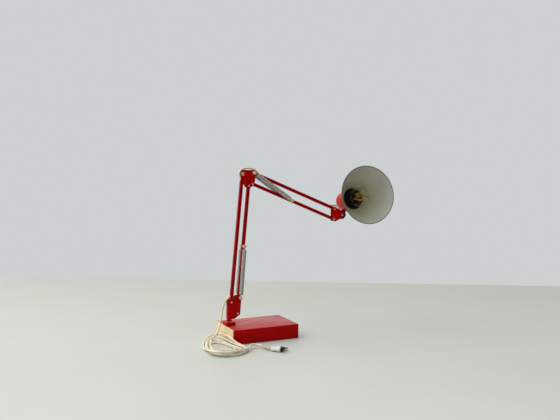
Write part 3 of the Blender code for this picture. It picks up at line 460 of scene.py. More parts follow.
# A dark nickel for the plug's pins.
DARK_NICKEL = metal("dark_nickel", (0.40, 0.37, 0.33), (0.16, 0.14, 0.12), (0.25, 0.45), tarnish=0.52)
SPRING = metal(
    "spring_wire", (0.52, 0.52, 0.48), (0.40, 0.39, 0.35), (0.50, 0.64), relief=0.03, metallic=0.7
)
BRASS = metal("lamp_cap_brass", (0.36, 0.26, 0.12), (0.16, 0.11, 0.06), (0.3, 0.5))
RUBBER = plastic("black_rubber", (0.022, 0.021, 0.020), (0.06, 0.055, 0.05), (0.7, 0.9), 700, 0.4)
GLASS = glass()
FILAMENT = filament_wire()
IRON = cast_iron()
RIM = worn_rim()
LINING = shade_lining()


# ---------------------------------------------------------------- mesh tools


def place_mesh(name, mesh, materials, body, nodes=(), angle=35, ride=True):
    """Links a finished mesh as a piece, shades it smooth and hands it to its CAD body."""
    mesh.name = name
    for material in materials if isinstance(materials, (list, tuple)) else [materials]:
        mesh.materials.append(material)
    mesh.shade_smooth()
    mesh.set_sharp_from_angle(angle=radians(angle))
    made = bpy.data.objects.new(name, mesh)
    bpy.context.scene.collection.objects.link(made)
    if nodes:
        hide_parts(*nodes)
    if ride:
        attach(made, body)
    return made


def to_mesh(work, name):
    """Turns the work into a mesh with outward normals and frees the work."""
    bmesh.ops.recalc_face_normals(work, faces=work.faces)
    mesh = bpy.data.meshes.new(name)
    work.to_mesh(mesh)
    work.free()
    return mesh


def standing(origin, axis):
    """A frame at origin whose +Z lies along axis."""
    turn = Vector(axis).to_track_quat("Z", "Y")
    return Matrix.Translation(Vector(origin)) @ turn.to_matrix().to_4x4()


def turned_into(work, profile, where, steps=48, closed=False, paint=None):
    """Adds a shape turned about where's +Z from (radius, height) pairs; paint gives each band's slot."""
    rings = []
    for radius, height in profile:
        if radius < 1e-7:
            rings.append([work.verts.new(where @ Vector((0, 0, height)))])
            continue
        turns = [2 * pi * k / steps for k in range(steps)]
        rings.append(
            [work.verts.new(where @ Vector((radius * cos(a), radius * sin(a), height))) for a in turns]
        )
    pairs = list(zip(rings, rings[1:])) + ([(rings[-1], rings[0])] if closed else [])
    for band, (first, second) in enumerate(pairs):
        for k in range(steps):
            n = (k + 1) % steps
            if len(first) == 1 and len(second) == 1:
                continue
            if len(first) == 1:
                corners = (first[0], second[k], second[n])
            elif len(second) == 1:
                corners = (first[k], second[0], first[n])
            else:
                corners = (first[k], second[k], second[n], first[n])
            face = work.faces.new(corners)
            if paint:
                face.material_index = paint[band]


def turned(name, profile, where, material, body, nodes=(), steps=48, closed=False, paint=None):
    """One turned piece; the options are those of turned_into."""
    work = bmesh.new()
    turned_into(work, profile, where, steps, closed, paint)
    return place_mesh(name, to_mesh(work, name), material, body, nodes)


def filleted(profile, radius, steps=3):
    """A (radius, height) profile with each inner corner rounded off."""
    soft = [profile[0]]
    for back, here, ahead in zip(profile, profile[1:], profile[2:]):
        a, b, c = Vector(back), Vector(here), Vector(ahead)
        first, last = a - b, c - b
        reach = min(radius, first.length * 0.45, last.length * 0.45)
        if reach < 1e-6:
            soft.append(here)
            continue
        p, q = b + first.normalized() * reach, b + last.normalized() * reach
        for k in range(steps + 1):
            t = k / steps
            soft.append(tuple(p * (1 - t) ** 2 + b * 2 * t * (1 - t) + q * t**2))
    return soft + [profile[-1]]


def smooth_route(route, spacing):
    """Evenly spaced points on a Catmull-Rom curve through the route's points."""
    knots = [Vector(p) for p in route]
    knots = [knots[0] * 2 - knots[1]] + knots + [knots[-1] * 2 - knots[-2]]
    fine = []
    for a, b, c, d in zip(knots, knots[1:], knots[2:], knots[3:]):
        for k in range(24):
            t = k / 24
            bend = 2 * a - 5 * b + 4 * c - d
            twist = 3 * b - a - 3 * c + d
            fine.append(0.5 * (2 * b + (c - a) * t + bend * t**2 + twist * t**3))
    fine.append(knots[-2])
    total = sum((q - p).length for p, q in zip(fine, fine[1:]))
    count = max(2, round(total / spacing))
    even, walked, target = [fine[0]], 0.0, total / count
    for p, q in zip(fine, fine[1:]):
        step = (q - p).length
        while step > 0 and walked + step >= target and len(even) < count:
            even.append(p.lerp(q, (target - walked) / step))
            target += total / count
        walked += step
    even.append(fine[-1])
    return even


def capped(work, rings):
    """Joins rings of equal length with quads and closes both ends."""
    sides = len(rings[0])
    for first, second in zip(rings, rings[1:]):
        for k in range(sides):
            n = (k + 1) % sides
            work.faces.new((first[k], first[n], second[n], second[k]))
    work.faces.new(list(reversed(rings[0])))
    work.faces.new(rings[-1])


def tube_into(work, points, radius, sides=12, radii=None):
    """Adds a round tube along points, with caps; radii scales it point by point."""
    points = [Vector(p) for p in points]
    ways = [
        (ahead - back).normalized()
        for back, ahead in zip(points[:1] + points[:-1], points[1:] + points[-1:])
    ]
    side = ways[0].orthogonal().normalized()
    rings = []
    for i, (place, way) in enumerate(zip(points, ways)):
        if i:
            side = (side - way * side.dot(way)).normalized()
        other = way.cross(side)
        size = radius * (radii[i] if radii else 1.0)
        ring = []
        for k in range(sides):
            a = 2 * pi * k / sides
            ring.append(work.verts.new(place + side * size * cos(a) + other * size * sin(a)))
        rings.append(ring)
    capped(work, rings)


def tube(name, points, radius, material, body, slot, nodes=(), ride=True, **shape):
    """One tube piece; shape holds the options of tube_into."""
    work = bmesh.new()
    tube_into(work, points, radius, **shape)
    return place_mesh(name, to_mesh(work, name), material, body, nodes, 50, ride)


def crisp(node, material, body, width, segments=3):
    """A copy of a CAD node's flat-sided shape with small rounded edges that catch the light."""
    work = bmesh.new()
    work.from_mesh(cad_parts[node].data)
    bmesh.ops.remove_doubles(work, verts=work.verts, dist=1e-6)
    bmesh.ops.dissolve_limit(work, angle_limit=radians(1.5), verts=work.verts, edges=work.edges)
    sharp = [
        e
        for e in work.edges
        if len(e.link_faces) == 2 and e.calc_face_angle(0) > radians(50) and e.is_convex
    ]
    bmesh.ops.bevel(
        work, geom=sharp, offset=width, offset_type="OFFSET", segments=segments, profile=0.5,
        affect="EDGES", clamp_overlap=True,
    )
    label = node + "_looks"
    return place_mesh(label, to_mesh(work, label), material, body, (node,), 30)


def dress(node, material):
    """Gives a carried-over CAD node a finished material."""
    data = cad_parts[node].data
    data.materials.clear()
    data.materials.append(material)


# ---------------------------------------------------------------- mains lead

LEAD_ROUTE = (
    (-0.0874, 0.0, 0.1249),
    (-0.0948, 0.0, 0.1200),
    (-0.1035, -0.0010, 0.1115),
    (-0.1088, -0.0020, 0.0985),
    (-0.1118, -0.0030, 0.0840),
    (-0.1150, -0.0045, 0.0690),
    (-0.1195, -0.0080, 0.0530),
    (-0.1270, -0.0160, 0.0385),
    (-0.1370, -0.0290, 0.0290),
    (-0.1490, -0.0450, 0.0255),
)
HANK = (
    # The lead comes down
    (-0.1640, -0.0610, 0.0245),
    (-0.1740, -0.0800, 0.0215),
    (-0.1837, -0.1022, 0.0165),
    (-0.1879, -0.1302, 0.0125),
    # First turn: near strands, corner, far strands, left side
    (-0.1776, -0.1507, 0.0105),
    (-0.1562, -0.1602, 0.0115),
    (-0.1342, -0.1616, 0.0120),
    (-0.1118, -0.1526, 0.0115),
    (-0.0940, -0.1370, 0.0095),
    (-0.0941, -0.1217, 0.0090),
    (-0.1032, -0.0946, 0.0090),
    (-0.1085, -0.0569, 0.0095),
    (-0.1133, -0.0237, 0.0105),
    (-0.1208, 0.0040, 0.0110),
    (-0.1346, 0.0117, 0.0100),
    (-0.1565, -0.0092, 0.0080),
    (-0.1761, -0.0466, 0.0065),
    (-0.1882, -0.0892, 0.0050),
    # Second turn
    (-0.1863, -0.1261, 0.0030),
    (-0.1719, -0.1506, 0.0030),
    (-0.1494, -0.1644, 0.0030),
    (-0.1189, -0.1594, 0.0030),
    (-0.0909, -0.1389, 0.0032),
    (-0.0831, -0.1190, 0.0055),
    (-0.0950, -0.1066, 0.0100),
    (-0.1033, -0.0889, 0.0140),
    (-0.1048, -0.0562, 0.0180),
    (-0.1069, -0.0187, 0.0190),
    (-0.1161, 0.0085, 0.0185),
    (-0.1311, 0.0211, 0.0150),
    (-0.1555, 0.0068, 0.0075),
    (-0.1785, -0.0323, 0.0035),
    (-0.1916, -0.0799, 0.0030),
    # Third turn, inside the others
    (-0.1870, -0.1205, 0.0075),
    (-0.1658, -0.1276, 0.0075),
    (-0.1436, -0.1292, 0.0060),
    (-0.1227, -0.1239, 0.0045),
    (-0.1110, -0.1133, 0.0035),
    (-0.1141, -0.0925, 0.0030),
    (-0.1196, -0.0623, 0.0030),
    (-0.1276, -0.0372, 0.0030),
    (-0.1391, -0.0242, 0.0030),
    (-0.1576, -0.0324, 0.0030),
    (-0.1757, -0.0584, 0.0030),
    (-0.1852, -0.0943, 0.0030),
    # Fourth turn
    (-0.1885, -0.1465, 0.0075),
    (-0.1697, -0.1627, 0.0075),
    (-0.1448, -0.1635, 0.0070),
    (-0.1213, -0.1513, 0.0060),
    (-0.1049, -0.1374, 0.0060),
    (-0.1074, -0.1221, 0.0070),
    (-0.1164, -0.0907, 0.0075),
    (-0.1213, -0.0513, 0.0075),
    (-0.1299, -0.0196, 0.0075),
    (-0.1438, -0.0128, 0.0070),
    (-0.1657, -0.0358, 0.0075),
    (-0.1853, -0.0781, 0.0090),
    (-0.1955, -0.1281, 0.0120),
    # The last pass along the front, on top
    (-0.1855, -0.1565, 0.0140),
    (-0.1644, -0.1666, 0.0140),
    (-0.1398, -0.1681, 0.0140),
    (-0.1129, -0.1552, 0.0125),
)
TAIL_ROUTE = (
    (-0.0870, -0.1415, 0.0110),
    (-0.0820, -0.1300, 0.0106),
    (-0.0755, -0.1160, 0.0105),
    (-0.0640, -0.1090, 0.0105),
    (-0.0515, -0.1120, 0.0095),
    (-0.0435, -0.1230, 0.0085),
    (-0.0400, -0.1370, 0.0075),
)


def eased(route, rounds):
    """The route with its sharpest bends eased, as a springy lead opens them; the ends stay."""
    points = [p.copy() for p in route]
    for _ in range(rounds):
        points[1:-1] = [
            here.lerp((back + ahead) / 2, 0.5)
            for back, here, ahead in zip(points, points[1:], points[2:])
        ]
    return points


PLUG_BACK = Vector((-0.0290, -0.1557, 0.0064))
PLUG_FRONT = Vector((-0.0070, -0.1700, 0.0068))
PLUG_WAY = (PLUG_FRONT - PLUG_BACK).normalized()
PLUG_ACROSS = PLUG_WAY.cross(Vector((0, 0, 1))).normalized()
PLUG_MOUTH = PLUG_BACK - PLUG_WAY * 0.0045
PLUG_SQUARENESS = 0.72
PIN_APART = 0.0185


def oblong_into(work, origin, stations, sides=40):
    """Adds a body of rounded oblong sections, each (along the plug, half width, half height)."""
    rise = PLUG_ACROSS.cross(PLUG_WAY)
    rings = []
    for along, wide, high in stations:
        ring = []
        for k in range(sides):
            a = 2 * pi * k / sides
            across = abs(cos(a)) ** PLUG_SQUARENESS * (1 if cos(a) >= 0 else -1)
            upward = abs(sin(a)) ** PLUG_SQUARENESS * (1 if sin(a) >= 0 else -1)
            place = origin + PLUG_WAY * along + PLUG_ACROSS * wide * across + rise * high * upward
            ring.append(work.verts.new(place))
        rings.append(ring)
    capped(work, rings)


def plug_moulding():
    """The white body: a neck, eleven ribbed stations that widen forwards and a plain front."""
    length = (PLUG_FRONT - PLUG_BACK).length
    stations = [(0.0, 0.0052, 0.0046), (0.0008, 0.0066, 0.0053), (0.0025, 0.0078, 0.0057)]
    for k in range(11):
        dip = 0.0005 if k % 2 else 0.0
        stations.append((0.004 + 0.0013 * k, 0.0086 + 0.0040 * (k / 10) ** 0.8 - dip, 0.0060 - dip))
    stations += [(length - 0.005, 0.0142, 0.0064), (length - 0.0012, 0.0144, 0.0064)]
    stations += [(length - 0.0003, 0.0139, 0.0060), (length, 0.0130, 0.0052)]
    work = bmesh.new()
    oblong_into(work, PLUG_BACK, stations)
    return place_mesh(
        "plug_moulding", to_mesh(work, "plug"), WHITE, "base", ("plug_body",), 42
    )


def plug_relief():
    """The ribbed strain relief, which widens towards the plug."""
    route = smooth_route([TAIL_ROUTE[-2], TAIL_ROUTE[-1], PLUG_MOUTH], 0.0007)
    route += [PLUG_BACK - PLUG_WAY * 0.0020, PLUG_BACK + PLUG_WAY * 0.0010]
    last = len(route) - 1
    ribs = [0.08 if k % 4 in (1, 2) and 3 < k < last - 4 else 0 for k in range(last + 1)]
    widths = [0.78 + 0.30 * k / last - rib for k, rib in enumerate(ribs)]
    return tube(
        "plug_strain_relief", route, 0.0038, BROWNISH_WHITE, "base", "white_plastic", ("plug_relief",),
        sides=20, radii=widths,
    )


def pin_foot(side):
    """Where a pin leaves the plug's front, with +Z along the pin."""
    return standing(PLUG_FRONT + PLUG_ACROSS * side * PIN_APART / 2, PLUG_WAY)


def plug_pins():
    """Two round pins with rounded tips and a shoulder at the foot."""
    corners = [
        (0, 0.0193), (0.0013, 0.0193), (0.0020, 0.0178), (0.0020, 0.0), (0.0029, 0.0), (0.0029, -0.001),
        (0, -0.001),
    ]
    return [
        turned(
            "plug_prong_" + word, filleted(corners, 0.0006), pin_foot(side), DARK_NICKEL, "base",
            ("plug_pin_" + word,), 28,
        )
        for word, side in (("left", -1), ("right", 1))
    ]


def pin_collar():
    """The black front of the plug with a sleeve round the root of each pin; the black front is partly
    painted shade on the plug's front face.
    """
    work = bmesh.new()
    sleeve = [(0.0021, 0.0108), (0.0026, 0.0108), (0.0031, 0.0080), (0.0033, -0.0004), (0.0021, -0.0004)]
    for side in (-1, 1):
        turned_into(work, filleted(sleeve, 0.0004), pin_foot(side), 28)
    # The black front plate: besides the real black sleeves, it partly stands for painted shade on the plug's
    # front.
    back = [(along, 0.0128, 0.0050) for along in (-0.0008, 0.0, 0.0052, 0.0058)]
    front = [(along, 0.0122, 0.0044) for along in (0.0066, 0.0070)]
    oblong_into(work, PLUG_FRONT, back + front)
    return place_mesh(
        "plug_pin_collar", to_mesh(work, "collar"), BLACK, "base", (), 42
    )


def plug():
    """Two-pin plug: a white body with its relief, and a black front with the pins."""
    body = plug_moulding()
    relief = plug_relief()
    pins = plug_pins()
    return [body, relief, pin_collar(), *pins]


def mains_lead():
    """The free lead: sleeve at the bar, drop, hank and tail, with its plug."""
    knots = LEAD_ROUTE + HANK + TAIL_ROUTE + (tuple(PLUG_MOUTH),)
    whole = eased(smooth_route(knots, 0.0021), 50)
    walked, split = 0.0, 0
    while walked < SLEEVE_LENGTH:
        walked += (whole[split + 1] - whole[split]).length
        split += 1
    covered = whole[: split + 1]
    last = len(covered) - 1
    ribs = [0.07 if k % 3 == 1 and k < last - 1 else 0 for k in range(last + 1)]
    widths = [1.0 - 0.12 * k / last - rib for k, rib in enumerate(ribs)]
    inward = covered[0] + (covered[0] - covered[1]).normalized() * 0.002
    sleeve = tube(
        "lead_sleeve", [inward] + covered, SLEEVE_RADIUS, CREAM, "bracket", "cream_plastic",
        ("cord_sleeve",), ride=False, sides=20, radii=[1.0] + widths,
    )
    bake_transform(sleeve)
    run = whole[split - 1 :]
    work = bmesh.new()
    tube_into(work, run, CORD_RADIUS, sides=12)
    lead = place_mesh(
        "mains_lead", to_mesh(work, "mains_lead"), LEAD, "base",
        ("mains_cord", "cord_bundle", "cord_tail"), 60, False,
    )
    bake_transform(lead)
    plug()


ELBOW_LEAD = (
    beside(P1, LOWER_WAY, 0.344, 0.0),
    beside(P1, LOWER_WAY, 0.354, 0.0025),
    (-0.0614, 0.4700),
    (-0.0636, 0.4765),
    (-0.0612, 0.4848),
    (-0.0530, 0.4908),
    (-0.0415, 0.4933),
    (-0.0290, 0.4933),
    (-0.0170, 0.4902),
    (-0.0076, 0.4834),
    beside(R1, UPPER_WAY, 0.0185, 0.0025),
    beside(R1, UPPER_WAY, 0.030, 0.0),
)
HEAD_LEAD = (
    beside(R1, UPPER_WAY, 0.263, 0.0),
    beside(R1, UPPER_WAY, 0.274, 0.0030),
    (0.2470, 0.3844),
    (0.2560, 0.3856),
    (0.2650, 0.3834),
    (0.2723, 0.3784),
    (0.2781, 0.3717),
    (0.2818, 0.3640),
)


def captive_cables():
    """The lead where it loops over the elbow and the head bracket, each loop in two halves."""
    halves = (
        ("elbow_lead", ELBOW_LEAD, 0.48, "lower_rear", "elbow", "upper_top", "elbow_cable"),
        ("head_lead", HEAD_LEAD, 0.50, "upper_top", "head_bracket", "knuckle", "head_cable"),
    )
    for name, knots, share, before, middle, after, node in halves:
        route = smooth_route([point(k) for k in knots], 0.0012)
        at = round(len(route) * share)
        first, second = route[: at + 1], route[at:]
        look = (CORD_RADIUS, LEAD, middle, "cream_lead", (node,), False)
        start = tube(name + "_rear", first, *look, sides=16)
        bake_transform(start)
        end = tube(name + "_front", second, *look, sides=16)
        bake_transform(end)


# ---------------------------------------------------------------- base and bars


def base():
    """The enamelled base, its end plate, pad and foot block; the weight inside stays rough iron."""
    crisp("base_cover", RED, "base", 0.0003, 2)
    crisp("base_end_plate", CREAM_PAINT, "base", 0.0003, 2)
    crisp("base_pad", RUBBER, "base", 0.0005, 2)
    crisp("foot_block", RED, "base", 0.0003, 2)
    dress("base_weight", IRON)
    dress("spindle_bush", BRASS)


def swivel():
    """The spindle that the lamp turns on, and the bracket above it."""
    place = Matrix.Translation((SPINDLE_X, 0, 0))
    corners = [
        (0, 0.0597), (0.0072, 0.0597), (0.0075, 0.0592), (0.0075, 0.0551), (0.0070, 0.0547),
        (0.004, 0.0546), (0.004, 0.010), (0, 0.010),
    ]
    profile = filleted(corners, 0.0004)
    turned("swivel_spindle", profile, place, RED, "bracket", ("spindle",))
    crisp("lower_bracket", RED, "bracket", 0.00035)


def bars():
    """The four arm bars, the elbow plates, the head cheeks and the cable inside the bars."""
    for node, body in (
        ("lower_rear_bar", "lower_rear"),
        ("lower_front_bar", "lower_front"),
        ("upper_top_bar", "upper_top"),
        ("upper_bottom_bar", "upper_bottom"),
    ):
        # The bars take the darker red, which is painted shade.
        crisp(node, SHADED_BAR_RED, body, 0.00025, 2)
    for node, body in (
        ("elbow_plate_near", "elbow"),
        ("elbow_plate_far", "elbow"),
        ("head_cheek_near", "head_bracket"),
        ("head_cheek_far", "head_bracket"),
    ):
        crisp(node, RED, body, 0.00035)
    dress("lower_cable", LEAD)
    dress("upper_cable", LEAD)


def washers(name, place, body):
    """A cream washer on each outer face, under a rivet's head; their light cream partly stands for a painted
    highlight on the pin.
    """
    work = bmesh.new()
    for side in (-1, 1):
        ring = [(0.0021, 0.0), (0.0046, 0.0), (0.0046, 0.0003), (0.0043, 0.0006), (0.0021, 0.0006)]
        where = standing(point(place, side * PLATE_OUTER), (0, side, 0))
        turned_into(work, ring, where, 32, closed=True)
    place_mesh(name, to_mesh(work, name), CREAM, body)


def both_ends(half):
    """A whole turned profile from the half above the arm plane."""
    return half + [(r, -z) for r, z in reversed(half)]


def rivet(node, place, body, half=PLATE_OUTER, head=RIVET_HEAD):
    """A domed rivet or bolt head on each outer face, with its shank between."""
    face = half + 0.00005
    crown = face + RIVET_RISE
    dome = [(0, crown + 0.0001), (head * 0.45, crown), (head * 0.9, crown - 0.0004)]
    profile = both_ends(filleted(dome + [(head, face), (PIN_RADIUS, face)], 0.0004))
    where = standing(point(place), (0, -1, 0))
    turned(node + "_head", profile, where, ZINC, body, (node,), 32)


def seat_profile(inner_face):
    """One moulded spring seat on a peg, from its outer end in."""
    outer = SPRING_Y + 0.0036
    corners = [
        (0, outer), (0.0012, outer), (0.0012, outer - 0.0004), (0.0022, outer - 0.0004),
        (0.0022, outer), (0.0042, outer), (0.0045, outer - 0.0006), (0.0045, SPRING_Y + 0.0017),
        (0.0024, SPRING_Y + 0.0010), (0.0024, SPRING_Y - 0.0010), (0.0045, SPRING_Y - 0.0017),
        (0.0045, inner_face + 0.0002), (0.0040, inner_face), (PIN_RADIUS, inner_face),
    ]
    return filleted(corners, 0.0003, 2)


def pegs():
    """The cream spring seats at both ends of each pair of springs."""
    for node, place, body, face in (
        ("lower_bar_peg", S2, "lower_front", BAR_HALF + 0.0003),
        ("elbow_peg", R1, "elbow", PLATE_OUTER + 0.0001),
        ("upper_bar_peg", S4, "upper_bottom", BAR_HALF + 0.0003),
    ):
        turned(
            node + "_seats", both_ends(seat_profile(face)), standing(point(place), (0, -1, 0)), CREAM,
            body, (node,), 36,
        )
    for word, side in (("near", -1), ("far", 1)):
        profile = seat_profile(PLATE_OUTER + 0.0001) + [(PIN_RADIUS, 0.0050), (0, 0.0050)]
        turned(
            "lower_seat_" + word, profile, standing(point(S1), (0, side, 0)), CREAM, "bracket",
            ("lower_peg_" + word,), 36,
        )


def rivets():
    """The rivets at the arms' pins, the tilt bolt, and the washers at the elbow's rear pin."""
    for node, place, body in (
        ("lower_rear_pivot", P1, "bracket"),
        ("lower_front_pivot", P2, "bracket"),
        ("elbow_front_pivot", Q2, "elbow"),
        ("elbow_lower_pivot", R2, "elbow"),
        ("head_upper_pivot", T1, "head_bracket"),
        ("head_lower_pivot", T2, "head_bracket"),
    ):
        rivet(node, place, body)
    rivet("head_tilt_bolt", HEAD_PIN, "head_bracket", head=0.0036)
    # The cream washers at the elbow's rear pin partly stand for a painted highlight there.
    washers("elbow_washers", Q1, "elbow")
    rivet("elbow_rear_pivot", Q1, "elbow", PLATE_OUTER + 0.0005)


# ---------------------------------------------------------------- springs


def along_span(fixed, moving, side):
    """A frame on the fixed peg with +Z along the spring and +Y across the arm plane."""
    way = Vector((moving[0] - fixed[0], 0, moving[1] - fixed[1])).normalized()
    across = Vector((0, 1, 0))
    turn = Matrix((across.cross(way), across, way)).transposed().to_4x4()
    return Matrix.Translation(point(fixed, side * SPRING_Y)) @ turn


def hook(start_z):
    """An eye round the peg and the wire up to the coil, in the spring's own plane."""
    turns = [radians(70 - 22 * k) for k in range(15)]
    ring = [(HOOK_EYE * cos(a), 0.0, HOOK_EYE * sin(a)) for a in reversed(turns)]
    return ring + [(0.0026, 0.0, 0.0050), (0.0018, 0.0, start_z - 0.0016)]


def coil(name, fixed, moving, side, bodies, node_names):
    """A close-wound extension spring: the fixed end's hook and every turn of the coil."""
    where = along_span(fixed, moving, side)
    length = hypot(moving[0] - fixed[0], moving[1] - fixed[1])
    low, high = HOOK_REACH, length - HOOK_REACH
    pitch = 2 * COIL_WIRE + 0.00004
    climb = high - low - 2 * COIL_WIRE
    turns = climb / pitch
    count = round(turns * 14)
    path = list(smooth_route(hook(low), 0.0011))
    for k in range(count + 1):
        a = 2 * pi * turns * k / count
        reach = COIL_RADIUS * min(1.0, 0.45 + k / 16)
        path.append(Vector((reach * cos(a), reach * sin(a), low + COIL_WIRE + climb * k / count)))
    work = bmesh.new()
    tube_into(work, [where @ p for p in path], COIL_WIRE, sides=6)
    alone = len(bodies) == 1
    made = place_mesh(name, to_mesh(work, name), SPRING, bodies[0], node_names, 60, alone)
    if not alone:
        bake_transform(made)


def tail(name, fixed, moving, side, body, node, reach):
    """The moving end's hook, whose shank runs up inside the coil."""
    where = along_span(moving, fixed, side)
    knots = hook(HOOK_REACH) + [(0.0010, 0.0, HOOK_REACH + 0.003), (0.0, 0.0, reach)]
    bend = [where @ p for p in smooth_route(knots, 0.0011)]
    tube(name, bend, 0.00055, SPRING, body, "spring_steel", (node,), sides=8)


def springs():
    """Four springs: a coil and the moving end's hook for each arm and side."""
    for word, side in (("near", -1), ("far", 1)):
        coil("lower_coil_" + word, S1, S2, side, ("lower_springs",), ("lower_spring_" + word,))
        tail("lower_hook_" + word, S1, S2, side, "lower_tails", "lower_spring_tail_" + word, 0.042)
        coil(
            "upper_coil_" + word, R1, S4, side, ("upper_springs", "upper_spring_ends"),
            ("upper_spring_" + word, "upper_spring_end_" + word),
        )
        tail("upper_hook_" + word, R1, S4, side, "upper_tails", "upper_spring_tail_" + word, 0.0145)


# ---------------------------------------------------------------- head


def knuckle():
    """The black tilt knuckle: a disc between the cheeks and a short round neck."""
    work = bmesh.new()
    half = filleted([(0, 0.0045), (0.0126, 0.0045), (0.0135, 0.0036), (0.0135, 0.0)], 0.0006)
    disc = half + [(r, -z) for r, z in reversed(half[:-1])]
    turned_into(work, disc, standing(point(HEAD_PIN), (0, -1, 0)), 64)
    neck = [(0, 0.0150), (0.0066, 0.0150), (0.0070, 0.0145), (0.0070, 0.0122), (0.0040, 0.0118), (0, 0.0118)]
    turned_into(work, filleted(neck, 0.0004), standing(point(HEAD_PIN), point(STUB_WAY)), 48)
    place_mesh(
        "tilt_knuckle", to_mesh(work, "tilt_knuckle"), BLACK, "knuckle", ("knuckle",), 40
    )
    dress("head_nipple", ZINC)


CAP_OUTLINE = (
    (0.0325, 0.0180),
    (0.0323, 0.0000),
    (0.0312, -0.0160),
    (0.0298, -0.0300),
    (0.0275, -0.0420),
    (0.0235, -0.0530),
    (0.0175, -0.0605),
    (0.0090, -0.0645),
    (0.0, -0.0655),
)


def rear_cap():
    """The rear cup with the boss that turns on the nipple."""
    sheet = 0.0010
    smooth = smooth_route([(r, 0.0, z) for r, z in CAP_OUTLINE], 0.0028)
    outer = [(max(0.0, p.x), p.z) for p in smooth]
    mouth = CAP_OUTLINE[0][0]
    inner = [(max(0.0, r - sheet), z + sheet * (1 - r / mouth)) for r, z in outer[:-1]]
    inner += [(0.0, CAP_OUTLINE[-1][1] + sheet)]
    profile = list(reversed(inner)) + outer
    paint = [1] * (len(inner) - 1) + [0] * len(outer)
    work = bmesh.new()
    turned_into(work, profile, HEAD, 96, paint=paint)
    boss = [(0, 0.0256), (0.0085, 0.0256), (0.0085, 0.0159), (0.0080, 0.0153), (0.0052, 0.0153), (0, 0.0153)]
    turned_into(work, filleted(boss, 0.0005), standing(point(HEAD_PIN), point(STUB_WAY)), 48)
    place_mesh("rear_cup", to_mesh(work, "rear_cup"), [RED, LINING], "head", ("head_cap",), 40)


NECK_RADIUS = 0.0341
NECK_FROM = 0.006
NECK_TO = 0.023
RIM_AT = 0.118
RIM_RADIUS = 0.0868


def flare(at):
    """The cone's radius at a distance along the shade; it bulges a little."""
    share = (at - NECK_TO) / (RIM_AT - NECK_TO)
    return NECK_RADIUS + (RIM_RADIUS - NECK_RADIUS) * share**0.93


def spun_shade():
    """Spun sheet: red outside, pale lining inside, the edge rolled outwards."""
    sheet, bead = 0.0009, 0.0013
    stations = [NECK_TO + (RIM_AT - bead - NECK_TO) * (k / 26) for k in range(1, 27)]
    outer = [(flare(z), z) for z in reversed(stations)]
    outer += [(NECK_RADIUS + 0.0004, NECK_TO), (NECK_RADIUS, NECK_TO - 0.0012)]
    outer += [(NECK_RADIUS, NECK_FROM + 0.0014), (NECK_RADIUS - 0.0003, NECK_FROM)]
    inner = [(r - sheet, z) for r, z in reversed(outer)]
    centre = (outer[0][0] - sheet / 2 + 0.0002, RIM_AT - bead)
    rim = [
        (centre[0] + bead * cos(a), centre[1] + bead * sin(a))
        for a in (radians(165 - 15 * k) for k in range(13))
    ]
    profile = outer + inner + rim
    paint = [0] * (len(outer) - 1) + [1] * (len(inner) + 1) + [2] * len(rim)
    sides = [RED, LINING, RIM]
    turned("shade_shell", profile, HEAD, sides, "head", ("shade",), 128, True, paint)


def lampholder():
    """The black lampholder, whose ringed front plate closes the shade's neck."""
    profile = filleted(
        [
            (0, -0.019), (0.0142, -0.019), (0.0142, 0.0170), (0.0150, 0.0192), (0.0186, 0.0192),
            (0.0190, 0.0184), (0.0236, 0.0184), (0.0240, 0.0194), (0.0316, 0.0194), (0.0328, 0.0190),
            (0.0328, 0.0183), (0.0306, 0.0181), (0.0306, 0.0126), (0.0215, 0.0126), (0.0205, 0.0080),
            (0.0195, 0.0070), (0.0195, -0.034), (0.0150, -0.038), (0, -0.038),
        ],
        0.0005,
        2,
    )
    turned("lamp_holder", profile, HEAD, BLACK, "head", ("lamp_socket",), 72)


def bulb():
    """A clear pear bulb with a caged filament, its glass stem and its screw cap."""
    radius, centre, foot, wall = 0.0295, 0.064, 0.014, 0.0007
    outer = [(radius * sin(radians(a)), centre + radius * cos(radians(a))) for a in range(0, 121, 6)]
    last = outer[-1]
    for k in range(1, 15):
        share = k / 14
        ease = 1 - (1 - share) ** 1.7
        outer.append((last[0] + (0.0128 - last[0]) * ease, last[1] + (foot - last[1]) * share))
    inner = [(0.0, outer[0][1] - wall)] + [(max(0.0, r - wall), z) for r, z in outer[1:]]
    envelope = outer + list(reversed(inner))
    turned("bulb_envelope", envelope, HEAD, GLASS, "head", ("bulb_glass",), 64)
    screw_cap(foot)
    work = bmesh.new()
    stem = [
        (0, 0.0470), (0.0016, 0.0465), (0.0022, 0.0440), (0.0024, 0.0300), (0.0045, 0.0220),
        (0.0085, 0.0150), (0, 0.0148),
    ]
    turned_into(work, filleted(stem, 0.001), HEAD, 32)
    place_mesh("bulb_mount", to_mesh(work, "bulb_mount"), GLASS, "head", ("bulb_stem",), 40)
    filament()


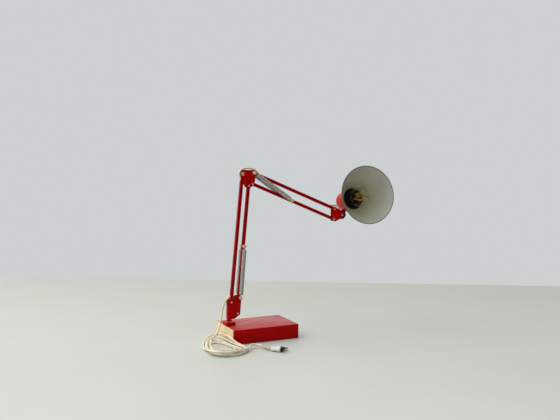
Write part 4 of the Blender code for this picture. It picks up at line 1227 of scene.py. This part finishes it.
def screw_cap(foot):
    """The brass screw cap: a dark top, five turns of thread and a contact at the end."""
    profile = [(0, foot - 0.0003), (0.0124, foot - 0.0003), (0.0132, foot - 0.0010)]
    for k in range(60):
        z = foot - 0.0022 - 0.0032 * k / 12
        profile.append((0.0131 + 0.0005 * sin(2 * pi * k / 12), z))
    profile += [(0.0118, -0.0052), (0.0070, -0.0090), (0.0048, -0.0096), (0.0045, -0.0115), (0, -0.0118)]
    paint = [1, 1] + [0] * (len(profile) - 3)
    turned("bulb_screw_cap", profile, HEAD, [BRASS, BLACK], "head", ("bulb_cap",), paint=paint)


def filament():
    """Gold filament rods zigzagging about the stem, with the wires that hold them."""
    work = bmesh.new()
    count = 8
    corners, feet = [], []
    for k in range(count):
        angle = 2 * pi * (k + 0.3) / count
        high = k % 2 == 0
        reach, level = (0.0125, 0.0800) if high else (0.0105, 0.0440)
        hub = 0.0470 if high else 0.0400
        corners.append(HEAD @ Vector((reach * cos(angle), reach * sin(angle), level)))
        feet.append(HEAD @ Vector((0.0012 * cos(angle), 0.0012 * sin(angle), hub)))
    for k in range(count):
        first, second = corners[k], corners[(k + 1) % count]
        rod = [first.lerp(second, share) for share in (0.04, 0.3, 0.6, 0.96)]
        tube_into(work, rod, 0.0011, sides=10)
        bow = (first - feet[k]).cross(feet[k] - HEAD.translation) * 0.8
        tube_into(work, [feet[k], feet[k].lerp(first, 0.6) + bow, first], 0.0003, sides=6)
    place_mesh(
        "bulb_filament_rods", to_mesh(work, "rods"), FILAMENT, "head", ("bulb_filament",), 60
    )


# ---------------------------------------------------------------- setting


def stage():
    """A plain pale floor."""
    mesh = bpy.data.meshes.new("floor")
    work = bmesh.new()
    bmesh.ops.create_grid(work, x_segments=1, y_segments=1, size=1.0)
    bmesh.ops.scale(work, vec=(*FLOOR_HALF, 1.0), verts=work.verts)
    work.to_mesh(mesh)
    work.free()
    mesh.materials.append(pale_floor())
    floor = bpy.data.objects.new("floor", mesh)
    bpy.context.scene.collection.objects.link(floor)
    turn = Matrix.Rotation(-FLOOR_TURN, 4, "Z")
    floor.matrix_world = Matrix.Translation(FLOOR_CENTRE) @ turn


camera()
mains_lead()
studio()
base()
swivel()
bars()
rivets()
pegs()
springs()
captive_cables()
knuckle()
rear_cap()
spun_shade()
lampholder()
bulb()
stage()
